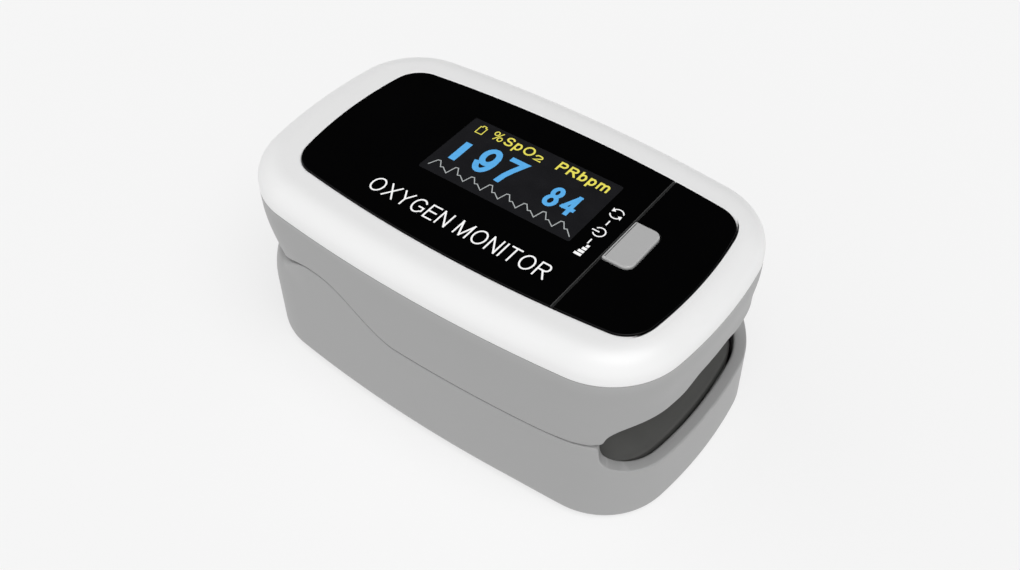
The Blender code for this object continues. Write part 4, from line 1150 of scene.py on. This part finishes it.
def clear_from_below(made):
    """Lets the floor be looked through from underneath."""
    tree = made.node_tree
    geometry = add_node(tree, "NewGeometry")
    clear = add_node(tree, "BsdfTransparent")
    either = add_node(tree, "MixShader")
    join(geometry, "Backfacing", either, "Fac")
    join(tree.nodes["Principled BSDF"], "BSDF", either, 1)
    join(clear, "BSDF", either, 2)
    join(either, "Shader", tree.nodes["Material Output"], "Surface")
    return made


def floor():
    half, z = FLOOR_HALF_M, FLOOR_Z * MM
    mesh = bpy.data.meshes.new("floor")
    corners = [(x, y, z) for x, y in rectangle(-half, -half, half, half)]
    mesh.from_pydata(corners, [], [(0, 1, 2, 3)])
    obj = bpy.data.objects.new("floor", mesh)
    bpy.context.scene.collection.objects.link(obj)
    obj.data.materials.append(clear_from_below(FLOOR_PAPER))


def surround():
    """A bright studio, dark where the panel mirrors it to the camera and dimmer on the far side."""
    world = bpy.data.worlds.new("studio")
    bpy.context.scene.world = world
    world.use_nodes = True
    tree = world.node_tree
    background = tree.nodes["Background"]
    background.inputs["Color"].default_value = (1.0, 1.0, 1.0, 1.0)
    coords = add_node(tree, "TexCoord")
    strength = add_node(tree, "Math", (("operation", "MULTIPLY"),))
    parts = (
        (DARK_WAY, "SMOOTHERSTEP", (0.80, 0.96, 0.66, 0.02)),
        (SHADED_WAY, "LINEAR", (0.1, 0.9, 1.0, 0.4)),
    )
    for index, (way, curve, (from_min, from_max, to_min, to_max)) in enumerate(parts):
        dot = add_node(tree, "VectorMath", (("operation", "DOT_PRODUCT"),))
        dot.inputs[1].default_value = Vector(way).normalized()
        join(coords, "Generated", dot, 0)
        level = add_node(tree, "MapRange", (("interpolation_type", curve),),
                         From_Min=from_min, From_Max=from_max, To_Min=to_min, To_Max=to_max)
        join(dot, "Value", level, "Value")
        join(level, "Result", strength, index)
    join(strength, "Value", background, "Strength")


def sun():
    light = bpy.data.lights.new("soft_key", "SUN")
    light.energy = 1.5
    light.angle = math.radians(50)
    lamp = bpy.data.objects.new("soft_key", light)
    lamp.rotation_mode = "QUATERNION"
    lamp.rotation_quaternion = Vector(SUN_WAY).to_track_quat("Z", "Y")
    bpy.context.scene.collection.objects.link(lamp)


def camera():
    data = bpy.data.cameras.new("camera")
    data.sensor_width = 36.0
    data.lens = CAMERA_LENS
    data.clip_start = 0.005
    data.clip_end = 20.0
    obj = bpy.data.objects.new("camera", data)
    bpy.context.scene.collection.objects.link(obj)
    right = Vector(CAMERA_RIGHT).normalized()
    back = Vector(CAMERA_BACK).normalized()
    up = back.cross(right).normalized()
    right = up.cross(back)
    turn = Matrix((right, up, back)).transposed()
    obj.matrix_world = Matrix.Translation(Vector(CAMERA_PLACE) * MM) @ turn.to_4x4()
    bpy.context.scene.camera = obj
    bpy.context.scene.view_settings.view_transform = "Standard"


def setting():
    floor()
    surround()
    sun()
    camera()


def build():
    lower_housing()
    upper_housing()
    cover()
    face_panel()
    key()
    panel_printing()
    screen()
    pad("lower_pad", lower_pad_top, 1, 2.5, LOWER_PAD_INSET, "lower_half", "lower_finger_pad")
    pad("upper_pad", upper_pad_bottom, -1, 3.0, UPPER_PAD_INSET, "upper_half", "upper_finger_pad")
    lenses()
    door()
    for side, (x, y) in zip(("left", "right"), LOWER_SCREWS):
        screw(f"housing_screw_{side}", x, y, 0.15, 1.8, 0.8, 0.8, 7.4, "lower_half", f"lower_screw_{side}")
    for side, y in (("left", 13.6), ("right", -13.6)):
        screw(f"cover_screw_{side}", -16.0, y, 20.1, 1.5, 0.7, 0.7, 4.6, "upper_half", f"upper_screw_{side}")
    cell("battery_left", 5.6, 1, -25.2, "aaa_cell_left")
    cell("battery_right", -5.6, -1, 17.5, "aaa_cell_right")
    springs()
    flex_cable()
    finish_nodes()
    setting()


build()
